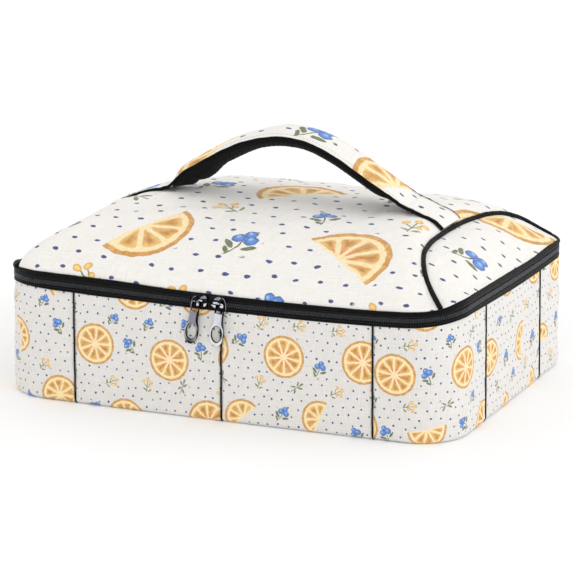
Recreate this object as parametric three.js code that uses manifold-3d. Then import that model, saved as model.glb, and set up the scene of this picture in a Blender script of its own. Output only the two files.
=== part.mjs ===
// Insulated casserole carrier: a rectangular soft carrier for a 9 x 13 inch dish, with a domed zip-off lid
// and a padded arch handle. Millimetres, +Z up. The origin is the centre of the base on the surface it stands on,
// +X runs along the long front, the zip sliders are on the front (-Y), and the lid is hinged along the back (+Y).
import * as THREE from 'three';
import { mergeVertices } from 'three/addons/utils/BufferGeometryUtils.js';
import Module from 'manifold-3d';

// ---------- driving dimensions ----------
const LENGTH = 400;            // outside length, along X
const WIDTH = 294;             // outside width, along Y
const CORNER_R = 42;           // outside radius of the vertical corners
const PANEL_COUNT = 10;        // wall panels round the side
const SEAM_START = 1.2;        // first seam, measured along the front from its middle
const FABRIC_T = 1.2;          // printed outer fabric
const FOAM_T = 6.0;            // insulation
const LINER_T = 0.8;           // foil lining
const GAP = 0.3;               // between touching pieces

const BASE_FABRIC_TOP = 1.2;
const BOARD_Z = [1.5, 3.5];
const BASE_FOAM_Z = [3.8, 8.8];
const LINER_FLOOR_Z = [9.1, 9.9];
const WALL_Z = [1.5, 95.0];    // printed wall
const WALL_TOP = 96.0;         // foam and lining end here

// the black zip band, from the wall up to the lid
const TAPE_LOW_Z = [95.3, 97.9];
const COIL_LOW_Z = [98.2, 100.1];
const COIL_UP_Z = [101.3, 103.2];
const TAPE_UP_Z = [103.5, 106.7];
const BINDING_Z = [107.0, 108.6];
const COIL_OUT = -1.0, COIL_IN = 1.2;   // distance inside the outline (negative stands proud)
const TAPE_OUT = -0.2, TAPE_IN = 1.0;
const HINGE_Z = 100.7;         // height of the fold of the hinge strip

// the lid: rim height, dome height and the puffed centre panel
const RIM_Z = 110.1;
const DOME_H = 35.4, DOME_PX = 9, DOME_QX = 1.593, DOME_PY = 2.0, DOME_QY = 0.56;
const PUFF = 8.0, PUFF_LEN = 5.0;
const LEFT_DROP = [[-147, 0], [-60, 0], [-40, 0.5], [-20, 1.6], [0, 3.2], [20, 5], [40, 6.8], [60, 8.6], [80, 9.8], [100, 9.4], [120, 6], [132, 2.5], [140, 0]];
const LEFT_ROLL = [[-138, 10], [-126, 7.3], [-114, 5.5], [-102, 4.5], [-90, 3.8], [-72, 2], [-60, 1.2], [-48, 1.2], [-36, 1.9], [-24, 1.8], [0, 1.3], [12, 1.2], [22, 0]];
const ARC_X = 142, ARC_R = 269;          // plan circle of the two curved lid seams
const PIPING_R = 2.1;

// handle: X and height of the line along which the printed top meets the black side
const HANDLE_W = 38;
const HANDLE_LINE = [[0, 210.3], [10, 209.5], [20, 207.4], [30, 204.6], [40, 200.3], [50, 195.2], [60, 189.8],
  [70, 184.2], [80, 178.3], [84, 175.9], [92, 171.2], [100, 166.0], [104, 163.0], [108, 159.2]];
const HANDLE_EDGE_T = 6.0, HANDLE_TOP_CROWN = 4.0, HANDLE_LOW_CROWN = 7.0;
const SWING_X = 84.0;          // the free part of the handle ends here
const GRIP_END_X = 108.0;      // the padded grip ends here, the flat tail begins
const TAIL_T = 2.4;
const TAIL_LINE = [[108, 159], [114, 157.3], [120, 155.5], [126, 153.6], [131, 152], [135, 150.6], [139, 149.2]];   // the right tail comes down on the lid slowly

// sliders and pulls
const SLIDER_X = [-17.2, -0.9];
const SLIDER_L = 15.2;
const BAIL_DX = [-1.7, 3.4];
const PULL_LEAN = [9.3, 7.2];     // degrees from plumb, both towards -X
const PULL_LEN = 37.6;

// ---------- helpers ----------
const wasm = await Module();
wasm.setup();

function signedVolume(pos, idx) {
  let v = 0;
  for (let i = 0; i < idx.length; i += 3) {
    const [a, b, c] = [idx[i] * 3, idx[i + 1] * 3, idx[i + 2] * 3];
    v += (pos[a] * (pos[b + 1] * pos[c + 2] - pos[b + 2] * pos[c + 1])
      - pos[a + 1] * (pos[b] * pos[c + 2] - pos[b + 2] * pos[c])
      + pos[a + 2] * (pos[b] * pos[c + 1] - pos[b + 1] * pos[c])) / 6;
  }
  return v;
}

function solid(pos, idx) {
  if (signedVolume(pos, idx) < 0) for (let i = 0; i < idx.length; i += 3) [idx[i + 1], idx[i + 2]] = [idx[i + 2], idx[i + 1]];
  const g = new THREE.BufferGeometry();
  g.setAttribute('position', new THREE.Float32BufferAttribute(pos, 3));
  g.setIndex(idx);
  return g;
}

// a solid swept through equal-length sections; open runs get a cap on each end
function loft(sections, closed = false) {
  const m = sections[0].length, n = sections.length, pos = [], idx = [];
  for (const s of sections) for (const p of s) pos.push(...p);
  for (let i = 0; i < (closed ? n : n - 1); i++) {
    const a = i * m, b = ((i + 1) % n) * m;
    for (let j = 0; j < m; j++) {
      const k = (j + 1) % m;
      idx.push(a + j, b + j, b + k, a + j, b + k, a + k);
    }
  }
  if (!closed) {
    const cap = (s, base, flip) => {
      const nrm = [0, 0, 0];
      for (let j = 0; j < m; j++) {
        const p = s[j], q = s[(j + 1) % m];
        nrm[0] += (p[1] - q[1]) * (p[2] + q[2]);
        nrm[1] += (p[2] - q[2]) * (p[0] + q[0]);
        nrm[2] += (p[0] - q[0]) * (p[1] + q[1]);
      }
      const ax = nrm.map(Math.abs), k = ax.indexOf(Math.max(...ax));
      const u = (k + 1) % 3, v = (k + 2) % 3;
      const flat = s.map((p) => new THREE.Vector2(p[u], p[v]));
      let area = 0;
      for (let j = 0; j < m; j++) { const p = flat[j], q = flat[(j + 1) % m]; area += p.x * q.y - q.x * p.y; }
      const tris = THREE.ShapeUtils.triangulateShape(flat, []);
      for (const t of tris) {
        // triangulateShape keeps the contour's own sense, so the wanted sense follows the section's order
        const [p, q, r] = t.map((i) => flat[i]);
        const ccw = (q.x - p.x) * (r.y - p.y) - (r.x - p.x) * (q.y - p.y) > 0;
        let tri = [...t];
        if (ccw !== area > 0) tri = [t[0], t[2], t[1]];
        if (flip) tri = [tri[0], tri[2], tri[1]];
        idx.push(...tri.map((i) => base + i));
      }
    };
    cap(sections[0], 0, false);
    cap(sections[n - 1], (n - 1) * m, true);
  }
  return solid(pos, idx);
}

// a solid made of rings about a centre; the first and last rings are closed with a fan. From ring number
// `turn` on, the quads are split the other way, so that the low side of a shell has the same folds as its top
function rings(list, turn = Infinity) {
  const m = list[0].length, pos = [], idx = [];
  for (const s of list) for (const p of s) pos.push(...p);
  for (let i = 0; i < list.length - 1; i++) {
    for (let j = 0; j < m; j++) {
      const k = (j + 1) % m, a = i * m, b = (i + 1) * m;
      if (i < turn) idx.push(a + j, b + k, b + j, a + j, a + k, b + k);
      else idx.push(a + j, a + k, b + j, a + k, b + k, b + j);
    }
  }
  const centre = (s) => [0, 1, 2].map((k) => s.reduce((t, p) => t + p[k], 0) / m);
  const c0 = pos.length / 3; pos.push(...centre(list[0]));
  const c1 = pos.length / 3; pos.push(...centre(list[list.length - 1]));
  const last = (list.length - 1) * m;
  for (let j = 0; j < m; j++) {
    const k = (j + 1) % m;
    idx.push(c0, k, j, c1, last + j, last + k);
  }
  return solid(pos, idx);
}

function toManifold(geometry) {
  let g = geometry.clone();
  g.deleteAttribute('normal'); g.deleteAttribute('uv');
  g = mergeVertices(g, 1e-4);
  return new wasm.Manifold(new wasm.Mesh({
    numProp: 3,
    vertProperties: new Float32Array(g.attributes.position.array),
    triVerts: new Uint32Array(g.index.array),
  }));
}

function fromManifold(man) {
  const mesh = man.getMesh();
  const g = new THREE.BufferGeometry();
  g.setAttribute('position', new THREE.Float32BufferAttribute(Array.from(mesh.vertProperties), 3));
  g.setIndex(Array.from(mesh.triVerts));
  return g;
}

function box(x0, x1, y0, y1, z0, z1) {
  return new THREE.BoxGeometry(x1 - x0, y1 - y0, z1 - z0).translate((x0 + x1) / 2, (y0 + y1) / 2, (z0 + z1) / 2);
}

// ---------- the rounded-rectangle outline, by distance along it ----------
const SX = LENGTH / 2 - CORNER_R, SY = WIDTH / 2 - CORNER_R, QUARTER = Math.PI * CORNER_R / 2;
const PERIMETER = 4 * SX + 4 * SY + 4 * QUARTER;
const BREAKS = [];             // ends of the straights, then 15 degree steps round each corner
{
  const runs = [[SX, 1], [QUARTER, 0], [2 * SY, 1], [QUARTER, 0], [2 * SX, 1], [QUARTER, 0], [2 * SY, 1], [QUARTER, 0], [SX, 1]];
  let s = 0;
  for (const [len, straight] of runs) {
    const steps = straight ? 1 : 6;
    for (let i = 0; i < steps; i++) BREAKS.push(s + (len * i) / steps);
    s += len;
  }
}

// point at distance s (from the middle of the front, towards +X), d inside the outline
function edge(s, d = 0) {
  s = ((s % PERIMETER) + PERIMETER) % PERIMETER;
  const h = CORNER_R, arc = (cx, cy, a) => [cx + (h - d) * Math.cos(a), cy + (h - d) * Math.sin(a)];
  if (s <= SX) return [s, -WIDTH / 2 + d];
  s -= SX;
  if (s <= QUARTER) return arc(SX, -SY, -Math.PI / 2 + s / h);
  s -= QUARTER;
  if (s <= 2 * SY) return [LENGTH / 2 - d, -SY + s];
  s -= 2 * SY;
  if (s <= QUARTER) return arc(SX, SY, s / h);
  s -= QUARTER;
  if (s <= 2 * SX) return [SX - s, WIDTH / 2 - d];
  s -= 2 * SX;
  if (s <= QUARTER) return arc(-SX, SY, Math.PI / 2 + s / h);
  s -= QUARTER;
  if (s <= 2 * SY) return [-LENGTH / 2 + d, SY - s];
  s -= 2 * SY;
  if (s <= QUARTER) return arc(-SX, -SY, Math.PI + s / h);
  s -= QUARTER;
  return [-SX + s, -WIDTH / 2 + d];
}

function stations(s0, s1) {
  const out = [s0];
  for (const turn of [-1, 0, 1, 2]) for (const b of BREAKS) {
    const s = b + turn * PERIMETER;
    if (s > s0 + 1.0 && s < s1 - 1.0) out.push(s);
  }
  out.push(s1);
  return out.sort((a, b) => a - b);
}

const ring = (d, z) => BREAKS.map((s) => [...edge(s, d), z]);
const plate = (d, z0, z1) => rings([ring(d, z0), ring(d, z1)]);
const strip = (s0, s1, dOut, dIn, z0, z1) => loft(stations(s0, s1).map((s) =>
  [[...edge(s, dOut), z0], [...edge(s, dIn), z0], [...edge(s, dIn), z1], [...edge(s, dOut), z1]]));
const hoop = (dOut, dIn, z0, z1) => loft(BREAKS.map((s) =>
  [[...edge(s, dOut), z0], [...edge(s, dIn), z0], [...edge(s, dIn), z1], [...edge(s, dOut), z1]]), true);

// ---------- the lid surface ----------
// seam between the middle and the end panels: an arc at the back, a fuller bow at the front
const arcX = (y) => (y < 0 ? ARC_X + 43 * (-y / 137.2) ** 3 : ARC_X + ARC_R - Math.sqrt(ARC_R * ARC_R - y * y));

function reach(x, y) {         // how far (x, y) is towards the rim, 0 at the centre and 1 on the rim, and the rim point
  const ax = Math.abs(x) + 1e-9, ay = Math.abs(y) + 1e-9;
  let t = Math.min(LENGTH / 2 / ax, WIDTH / 2 / ay);
  if (ax * t > SX && ay * t > SY) {
    const A = ax * ax + ay * ay, B = -2 * (ax * SX + ay * SY), C = SX * SX + SY * SY - CORNER_R * CORNER_R;
    t = (-B + Math.sqrt(Math.max(B * B - 4 * A * C, 0))) / (2 * A);
  }
  return [1 / t, ax * t, ay * t];
}

function dome(x, y) {
  const u = Math.min(Math.abs(x) / (LENGTH / 2), 1), v = Math.min(Math.abs(y) / (WIDTH / 2), 1);
  return (1 - u ** DOME_PX) ** DOME_QX * (1 - v ** DOME_PY) ** DOME_QY;
}

const between = (table, x) => {      // straight lines through a table of [place, value]
  if (x <= table[0][0]) return table[0][1];
  for (let i = 1; i < table.length; i++) {
    const [a, va] = table[i - 1], [b, vb] = table[i];
    if (x <= b) return va + ((vb - va) * (x - a)) / (b - a);
  }
  return table[table.length - 1][1];
};
const ease = (a, b, x) => { const t = Math.min(Math.max((x - a) / (b - a), 0), 1); return t * t * (3 - 2 * t); };

function leftEnd(x, y, s, inside, puffed) {      // the left end is slacker than the right one and lies lower
  if (x >= 0) return 0;
  const r = Math.min(s, 1);
  let d = -between(LEFT_DROP, y) * ease(75, 145, -x) * (1 - r ** 10);
  d -= 3.6 * ease(0, 7, -inside) * (1 - r ** 12) * ease(40, -10, y);
  if (puffed && inside > 0) d += between(LEFT_ROLL, y) * (1 - Math.exp(-inside / 1.6)) * (1 - ease(8, 42, inside)) * (1 - r ** 30);
  return d;
}

function lidZ(x, y, puffed = true) {
  const [s, hx, hy] = reach(x, y);
  const inside = arcX(y) - Math.abs(x);
  const puff = puffed && inside > 0 ? PUFF * (1 - Math.exp(-inside / PUFF_LEN)) * (1 - Math.min(s, 1) ** 6) : 0;
  return RIM_Z + DOME_H * (dome(x, y) - s ** 8 * dome(hx, hy)) + puff + leftEnd(x, y, s, inside, puffed);
}

// plan grid of the lid: more points on the long straights than the corners alone give
const LID_S = [];
{
  const all = [...BREAKS, PERIMETER];
  for (let i = 0; i < all.length - 1; i++) {
    const len = all[i + 1] - all[i], k = Math.max(1, Math.round(len / 34));
    for (let j = 0; j < k; j++) LID_S.push(all[i] + (len * j) / k);
  }
}
const LID_REACH = [1, 0.975, 0.94, 0.88, 0.79, 0.66, 0.48, 0.25];
const lidRing = (k, drop, puffed) => LID_S.map((s) => {
  const [ex, ey] = edge(s);
  return [ex * k, ey * k, lidZ(ex * k, ey * k, puffed) - drop];
});
function lidShell(first, dropTop, dropLow, puffed) {
  const use = LID_REACH.slice(first);
  const top = [...use].reverse().map((k) => lidRing(k, dropTop, puffed));
  const low = use.map((k) => lidRing(k, dropLow, puffed));
  return rings([...top, ...low], top.length);
}

// ---------- materials ----------
const print = new THREE.Color(0.90, 0.88, 0.85), black = new THREE.Color(0.03, 0.03, 0.035);
const mat = (color, roughness, metalness = 0) => new THREE.MeshStandardMaterial({ color, roughness, metalness });
const MATS = {
  print: () => mat(print, 0.85), base: () => mat(black, 0.9), black: () => mat(black, 0.8), mesh: () => mat(black, 0.95),
  foam: () => mat(new THREE.Color(0.85, 0.85, 0.83), 0.95), foil: () => mat(new THREE.Color(0.78, 0.79, 0.8), 0.3, 0.6),
  board: () => mat(new THREE.Color(0.7, 0.7, 0.7), 0.6), metal: () => mat(new THREE.Color(0.35, 0.35, 0.37), 0.25, 1),
};

const carrier = new THREE.Group();
const add = (name, geometry, kind) => {
  const mesh = new THREE.Mesh(geometry, MATS[kind]());
  mesh.name = name;
  carrier.add(mesh);
};

// ---------- base ----------
add('base_fabric', plate(0.3, 0, BASE_FABRIC_TOP), 'base');
add('base_board', plate(1.5, BOARD_Z[0], BOARD_Z[1]), 'board');
add('base_foam', plate(FABRIC_T + GAP + FOAM_T + GAP, BASE_FOAM_Z[0], BASE_FOAM_Z[1]), 'foam');

// ---------- wall: ten panels, a cord in each seam, foam behind them ----------
const PITCH = PERIMETER / PANEL_COUNT;
for (let k = 0; k < PANEL_COUNT; k++) {
  const s = SEAM_START + k * PITCH, id = String(k + 1).padStart(2, '0');
  add(`wall_panel_${id}`, strip(s + 0.9, s + PITCH - 0.9, 0, FABRIC_T, WALL_Z[0], WALL_Z[1]), 'print');
  const cord = [WALL_Z[0], WALL_Z[1]].map((z) => [[-0.6, 0.1], [-0.4, -0.3], [0, -0.45], [0.4, -0.3], [0.6, 0.1], [0.6, FABRIC_T], [-0.6, FABRIC_T]]
    .map(([ds, d]) => [...edge(s + ds, d), z]));
  add(`wall_seam_${id}`, loft(cord), 'black');
}
const FOAM_OUT = FABRIC_T + GAP, FOAM_IN = FOAM_OUT + FOAM_T;
add('wall_foam', hoop(FOAM_OUT, FOAM_IN, BASE_FOAM_Z[0], WALL_TOP), 'foam');

// ---------- lining: one tub, open at the top ----------
const LINER_OUT = FOAM_IN + GAP, LINER_IN = LINER_OUT + LINER_T;
add('liner', rings([ring(LINER_OUT, LINER_FLOOR_Z[0]), ring(LINER_OUT, WALL_TOP), ring(LINER_IN, WALL_TOP), ring(LINER_IN, LINER_FLOOR_Z[1])]), 'foil');

// ---------- zip: the tapes and coils run from one back corner round the front to the other ----------
const BACK_HALF = 148;         // half length of the hinge strip
const ZIP_0 = -(SX + 2 * QUARTER + 2 * SY + (SX - BACK_HALF)) + 0.4, ZIP_1 = -ZIP_0;
add('zip_tape_lower', strip(ZIP_0, ZIP_1, TAPE_OUT, TAPE_IN, ...TAPE_LOW_Z), 'black');
add('zip_coil_lower', strip(ZIP_0 + 4, ZIP_1 - 4, COIL_OUT, COIL_IN, ...COIL_LOW_Z), 'black');
add('zip_coil_upper', strip(ZIP_0 + 4, ZIP_1 - 4, COIL_OUT, COIL_IN, ...COIL_UP_Z), 'black');
add('zip_tape_upper', strip(ZIP_0, ZIP_1, TAPE_OUT, TAPE_IN, ...TAPE_UP_Z), 'black');
add('zip_stop_right', strip(ZIP_1 - 3.6, ZIP_1 - 0.4, COIL_OUT - 0.3, COIL_IN, COIL_LOW_Z[0], COIL_LOW_Z[1]), 'metal');
add('zip_stop_left', strip(ZIP_0 + 0.4, ZIP_0 + 3.6, COIL_OUT - 0.3, COIL_IN, COIL_LOW_Z[0], COIL_LOW_Z[1]), 'metal');
add('lid_rim_binding', hoop(-0.9, 1.2, ...BINDING_Z), 'black');

// hinge strip along the back, shown as the half sewn to the wall and the half sewn to the lid
const BACK_0 = SX + QUARTER + 2 * SY + QUARTER + SX - BACK_HALF, BACK_1 = BACK_0 + 2 * BACK_HALF;
add('hinge_strip_lower', strip(BACK_0, BACK_1, TAPE_OUT, TAPE_IN, TAPE_LOW_Z[0], HINGE_Z - 0.4), 'black');
add('hinge_strip_upper', strip(BACK_0, BACK_1, TAPE_OUT, TAPE_IN, HINGE_Z + 0.4, TAPE_UP_Z[1]), 'black');

// ---------- sliders and pulls ----------
const FRONT = -WIDTH / 2;
const PLATE_Y = [FRONT - 2.6, FRONT - 1.4];
const AXIS_Y = PLATE_Y[0] - 1.15, AXIS_Z = HINGE_Z;
const union = (...list) => list.map(toManifold).reduce((a, b) => a.add(b));

function plateShape(cx, nose, y0, y1, halfL, z0, z1) {
  // plan seen from the front: a shield, narrower at its tail
  const t = -nose;             // direction of the tail
  const pts = [[cx + nose * halfL, z0 + 2.2], [cx + nose * halfL, z1 - 2.2], [cx + nose * (halfL - 3), z1], [cx + t * 1, z1],
    [cx + t * halfL, z1 - 1.6], [cx + t * halfL, z0 + 1.6], [cx + t * 1, z0], [cx + nose * (halfL - 3), z0]];
  return loft([y0, y1].map((y) => pts.map(([x, z]) => [x, y, z])));
}

['left', 'right'].forEach((side, i) => {
  const cx = SLIDER_X[i], nose = i === 0 ? 1 : -1, bx = cx + BAIL_DX[i];
  const front = plateShape(cx, nose, PLATE_Y[0], PLATE_Y[1], SLIDER_L / 2, 95.0, 106.4);
  const back = plateShape(cx, nose, FRONT + 1.6, FRONT + 2.6, SLIDER_L / 2, 96.7, 104.7);
  const web = box(cx - 2, cx + 2, PLATE_Y[1] - 0.2, FRONT + 1.8, 100.4, 101.0);
  const flange = box(cx - 6, cx + 6, PLATE_Y[1] - 0.2, FRONT - 0.5, 95.3, 97.8);
  const post = (z0, z1) => box(bx - 0.65, bx + 0.65, AXIS_Y - 2.5, PLATE_Y[0] + 0.2, z0, z1);
  const bar = box(bx - 0.65, bx + 0.65, AXIS_Y - 2.5, AXIS_Y - 1.25, AXIS_Z - 3.4, AXIS_Z + 3.4);
  add(`slider_${side}`, fromManifold(union(front, back, web, flange, post(AXIS_Z + 2.4, AXIS_Z + 3.6), post(AXIS_Z - 3.6, AXIS_Z - 2.4), bar)), 'metal');

  // pull: an eye at the top, a waisted tab and a long open loop, cast in one
  const half = [[0.6, 1.2], [0.1, 2.5], [-1.1, 3.6], [-6, 4.0], [-11, 4.0], [-15, 4.1], [-18, 4.8], [-20.5, 5.9], [-23.5, 6.6], [-27, 6.8], [-30.5, 6.3], [-33.5, 5.2],
    [-36, 3.5], [-PULL_LEN, 1.1]];
  const outline = [...half.map(([z, w]) => new THREE.Vector2(w, z)), ...[...half].reverse().map(([z, w]) => new THREE.Vector2(-w, z))];
  const shape = new THREE.Shape(outline);
  const eye = new THREE.Path([[-2.9, -0.75], [-2.9, -8.4], [2.9, -8.4], [2.9, -0.75]].map(([x, z]) => new THREE.Vector2(x, z)));
  const loop = new THREE.Path(Array.from({ length: 14 }, (_, k) => {
    const a = (2 * Math.PI * k) / 14;
    return new THREE.Vector2(4.4 * Math.cos(a), -26.2 + 6.4 * Math.sin(a));
  }));
  shape.holes.push(eye, loop);
  const g = new THREE.ExtrudeGeometry(shape, { depth: 1.5, bevelEnabled: false, curveSegments: 1 });
  g.translate(0, 0, -0.75).rotateX(Math.PI / 2).rotateY(THREE.MathUtils.degToRad(PULL_LEAN[i])).translate(bx, AXIS_Y, AXIS_Z);
  add(`pull_${side}`, g, 'metal');
});

// ---------- lid ----------
const shell = toManifold(lidShell(0, 0, FABRIC_T, true));
const CUT = PIPING_R + GAP;    // the panels stop this far from the seam line
const seamY = (n, far) => Array.from({ length: n + 1 }, (_, k) => -far + (2 * far * k) / n);
{
  const ys = seamY(44, 168);
  const cut = (y) => CUT * Math.hypot(1, (arcX(y + 0.5) - arcX(y - 0.5)));      // measured square to the seam
  const right = ys.map((y) => [arcX(y) - cut(y), y]), left = [...ys].reverse().map((y) => [-arcX(y) + cut(y), y]);
  const plan = [...right, ...left];
  const prism = rings([plan.map(([x, y]) => [x, y, 95]), plan.map(([x, y]) => [x, y, 190])]);
  add('lid_center_panel', fromManifold(shell.intersect(toManifold(prism))), 'print');
  for (const [side, sign] of [['left', -1], ['right', 1]]) {
    const end = [...ys.map((y) => [sign * (arcX(y) + cut(y)), y]), [sign * 240, 168], [sign * 240, -168]];
    const block = rings([end.map(([x, y]) => [x, y, 95]), end.map(([x, y]) => [x, y, 190])]);
    add(`lid_end_panel_${side}`, fromManifold(shell.intersect(toManifold(block))), 'print');
    // piping along the seam: an eight-sided cord
    const run = Array.from({ length: 29 }, (_, k) => -133.6 + (270.6 * k) / 28).map((y) => new THREE.Vector3(sign * arcX(y), y, lidZ(sign * arcX(y), y) + 1.2));
    const cord = run.map((p, k) => {
      const t = run[Math.min(k + 1, run.length - 1)].clone().sub(run[Math.max(k - 1, 0)]).normalize();
      const a = new THREE.Vector3(0, 0, 1).cross(t).normalize(), b = t.clone().cross(a);
      return Array.from({ length: 8 }, (_, j) => {
        const ang = (2 * Math.PI * j) / 8;
        return p.clone().addScaledVector(a, (PIPING_R - 0.15) * Math.cos(ang)).addScaledVector(b, (PIPING_R - 0.15) * Math.sin(ang)).toArray();
      });
    });
    add(`lid_piping_${side}`, loft(cord), 'black');
  }
}
add('lid_foam', lidShell(1, FABRIC_T + 0.4, FABRIC_T + 0.4 + FOAM_T, false), 'foam');
add('lid_liner', lidShell(1, FABRIC_T + FOAM_T + 0.7, FABRIC_T + FOAM_T + 0.7 + LINER_T, false), 'foil');

// ---------- handle ----------
const line = (x) => {          // height of the edge line, and 1 / cos of its slope
  x = Math.abs(x);
  for (let i = 0; i < HANDLE_LINE.length - 1; i++) {
    const [x0, z0] = HANDLE_LINE[i], [x1, z1] = HANDLE_LINE[i + 1];
    if (x <= x1) return [z0 + ((z1 - z0) * (x - x0)) / (x1 - x0), Math.min(Math.hypot(1, (z1 - z0) / (x1 - x0)), 1.25)];
  }
  return [HANDLE_LINE.at(-1)[1], 1.2];
};
const HW = HANDLE_W / 2;
const crown = (y) => Math.max(0, 1 - (y / HW) ** 2);
const topT = (y) => HANDLE_TOP_CROWN * crown(y), lowT = (y) => -HANDLE_EDGE_T - HANDLE_LOW_CROWN * crown(y);
const across = (w, n) => Array.from({ length: n + 1 }, (_, k) => -w + (2 * w * k) / n);
const xs = [-SWING_X, -74, -64, -54, -44, -34, -24, -13, 0, 13, 24, 34, 44, 54, 64, 74, SWING_X];
const sweep = (section) => loft(xs.map((x) => { const [z, k] = line(x); return section.map(([y, t]) => [x, y, z + t * k]); }));

add('handle_cover', sweep([...across(16.6, 6).map((y) => [y, topT(y)]), ...across(16.6, 6).reverse().map((y) => [y, topT(y) - 1.1])]), 'print');
add('handle_core', sweep([...across(15.5, 6).map((y) => [y, topT(y) - 1.6]), ...across(15.5, 6).reverse().map((y) => [y, lowT(y) + 1.5])]), 'foam');
const under = [[-HW, -2.3], [-HW, -5.6], ...across(16.6, 6).map((y) => [y, lowT(y)]), [HW, -5.6], [HW, -2.3]];
const inner = [[16.9, -2.3], [16.9, -5.6], ...across(15.6, 6).reverse().map((y) => [y, lowT(y) + 1.0]), [-16.9, -5.6], [-16.9, -2.3]];
add('handle_mesh', sweep([...under, ...inner]), 'mesh');
for (const [side, sign] of [['front', -1], ['back', 1]]) {
  const r = 0.95;
  add(`handle_binding_${side}`, sweep(Array.from({ length: 6 }, (_, j) => {
    const a = (Math.PI * j) / 3;
    return [sign * (HW - 1.1) + r * Math.cos(a), -0.9 + r * Math.sin(a)];
  })), 'black');
}

// sewn ends of the grip and the flat tails on the lid
for (const [side, sign] of [['left', -1], ['right', 1]]) {
  const ends = [SWING_X + 0.5, 90, 96, 101, 104.5, GRIP_END_X - 0.4];
  add(`handle_end_${side}`, loft(ends.map((x) => {
    const [z, k] = line(x);
    const slim = Math.min(1, Math.max(0, (GRIP_END_X + 3 - x) / 14));   // the padding runs out towards the tail
    const floor = Math.max(lidZ(sign * x, 0), lidZ(sign * x, -HW)) + 0.8;
    return [...across(HW - 0.4, 6).map((y) => [sign * x, y, z + topT(y) * k * slim]),
      ...across(HW - 0.4, 6).reverse().map((y) => [sign * x, y, Math.max(floor, z + lowT(y) * k)])];
  })), 'black');
  const run = [GRIP_END_X, 114, 120, 126, 131, 135, 138.6];
  add(`handle_tail_${side}`, loft(run.map((x) => {
    const z = (y) => Math.max(lidZ(sign * x, y) + 1.2, sign > 0 ? between(TAIL_LINE, x) : 0);
    return [...across(HW, 4).map((y) => [sign * x, y, z(y)]), ...across(HW, 4).reverse().map((y) => [sign * x, y, z(y) + TAIL_T])];
  })), 'print');
}

export default carrier;
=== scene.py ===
# Insulated casserole carrier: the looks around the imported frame. Shapes are worked out in millimetres and turned
# into metres when a mesh is made. +X runs along the long front, -Y is the front, +Z is up.
import math

import bmesh
import bpy
import numpy as np
from mathutils import Matrix, Vector, noise


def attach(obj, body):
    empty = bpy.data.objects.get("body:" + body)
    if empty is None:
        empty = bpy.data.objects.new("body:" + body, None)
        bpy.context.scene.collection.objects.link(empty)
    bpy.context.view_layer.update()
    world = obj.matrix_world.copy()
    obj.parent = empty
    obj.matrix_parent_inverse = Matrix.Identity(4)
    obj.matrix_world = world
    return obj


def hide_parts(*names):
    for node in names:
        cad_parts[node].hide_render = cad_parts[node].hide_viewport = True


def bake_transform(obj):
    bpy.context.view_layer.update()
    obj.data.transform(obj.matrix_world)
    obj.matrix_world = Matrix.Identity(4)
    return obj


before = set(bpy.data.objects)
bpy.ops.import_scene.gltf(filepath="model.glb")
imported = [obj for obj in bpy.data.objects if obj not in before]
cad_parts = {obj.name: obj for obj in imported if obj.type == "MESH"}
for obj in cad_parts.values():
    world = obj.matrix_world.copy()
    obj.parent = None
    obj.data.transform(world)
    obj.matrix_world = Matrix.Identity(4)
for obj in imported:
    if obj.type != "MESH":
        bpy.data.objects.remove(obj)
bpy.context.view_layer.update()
MM = 0.001
scene = bpy.context.scene

# ---------------------------------------------------------------- camera, floor, light
cam_data = bpy.data.cameras.new("camera")
cam = bpy.data.objects.new("camera", cam_data)
scene.collection.objects.link(cam)
yaw, down = math.radians(-22.62), math.radians(15.38)
look = Vector((math.sin(yaw) * math.cos(down), math.cos(yaw) * math.cos(down), -math.sin(down)))
side = Vector((math.cos(yaw), -math.sin(yaw), 0))
cam.matrix_world = Matrix.Translation((1.31359, -3.15893, 1.01766)) @ Matrix((side, side.cross(look), -look)).transposed().to_4x4()
cam_data.lens, cam_data.sensor_width = 265.5, 36
cam_data.clip_start, cam_data.clip_end = 0.05, 60
scene.camera = cam
scene.view_settings.view_transform = "Standard"

# ---------------------------------------------------------------- sizes, as in the frame
LX, LY, CR = 200.0, 147.0, 42.0
SX, SY, QU = LX - CR, LY - CR, math.pi * CR / 2
RUNS = [SX, QU, 2 * SY, QU, 2 * SX, QU, 2 * SY, QU, SX]
PERIM = sum(RUNS)
PANELS, SEAM_START = 10, 1.2
PITCH = PERIM / PANELS
ZIP_END = SX + 2 * QU + 2 * SY + (SX - 148) - 0.4
HINGE_Z = 100.7
RIM_Z, DOME_H = 110.1, 35.4
ARC_X, Y_FRONT, Y_BACK = 144.5, 136.3, 139.8      # the end seams: middle, and where they reach the rim


def clip01(x):
    return np.clip(x, 0, 1)


def sstep(a, b, x):
    t = clip01((np.asarray(x, float) - a) / (b - a))
    return t * t * (3 - 2 * t)


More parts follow.
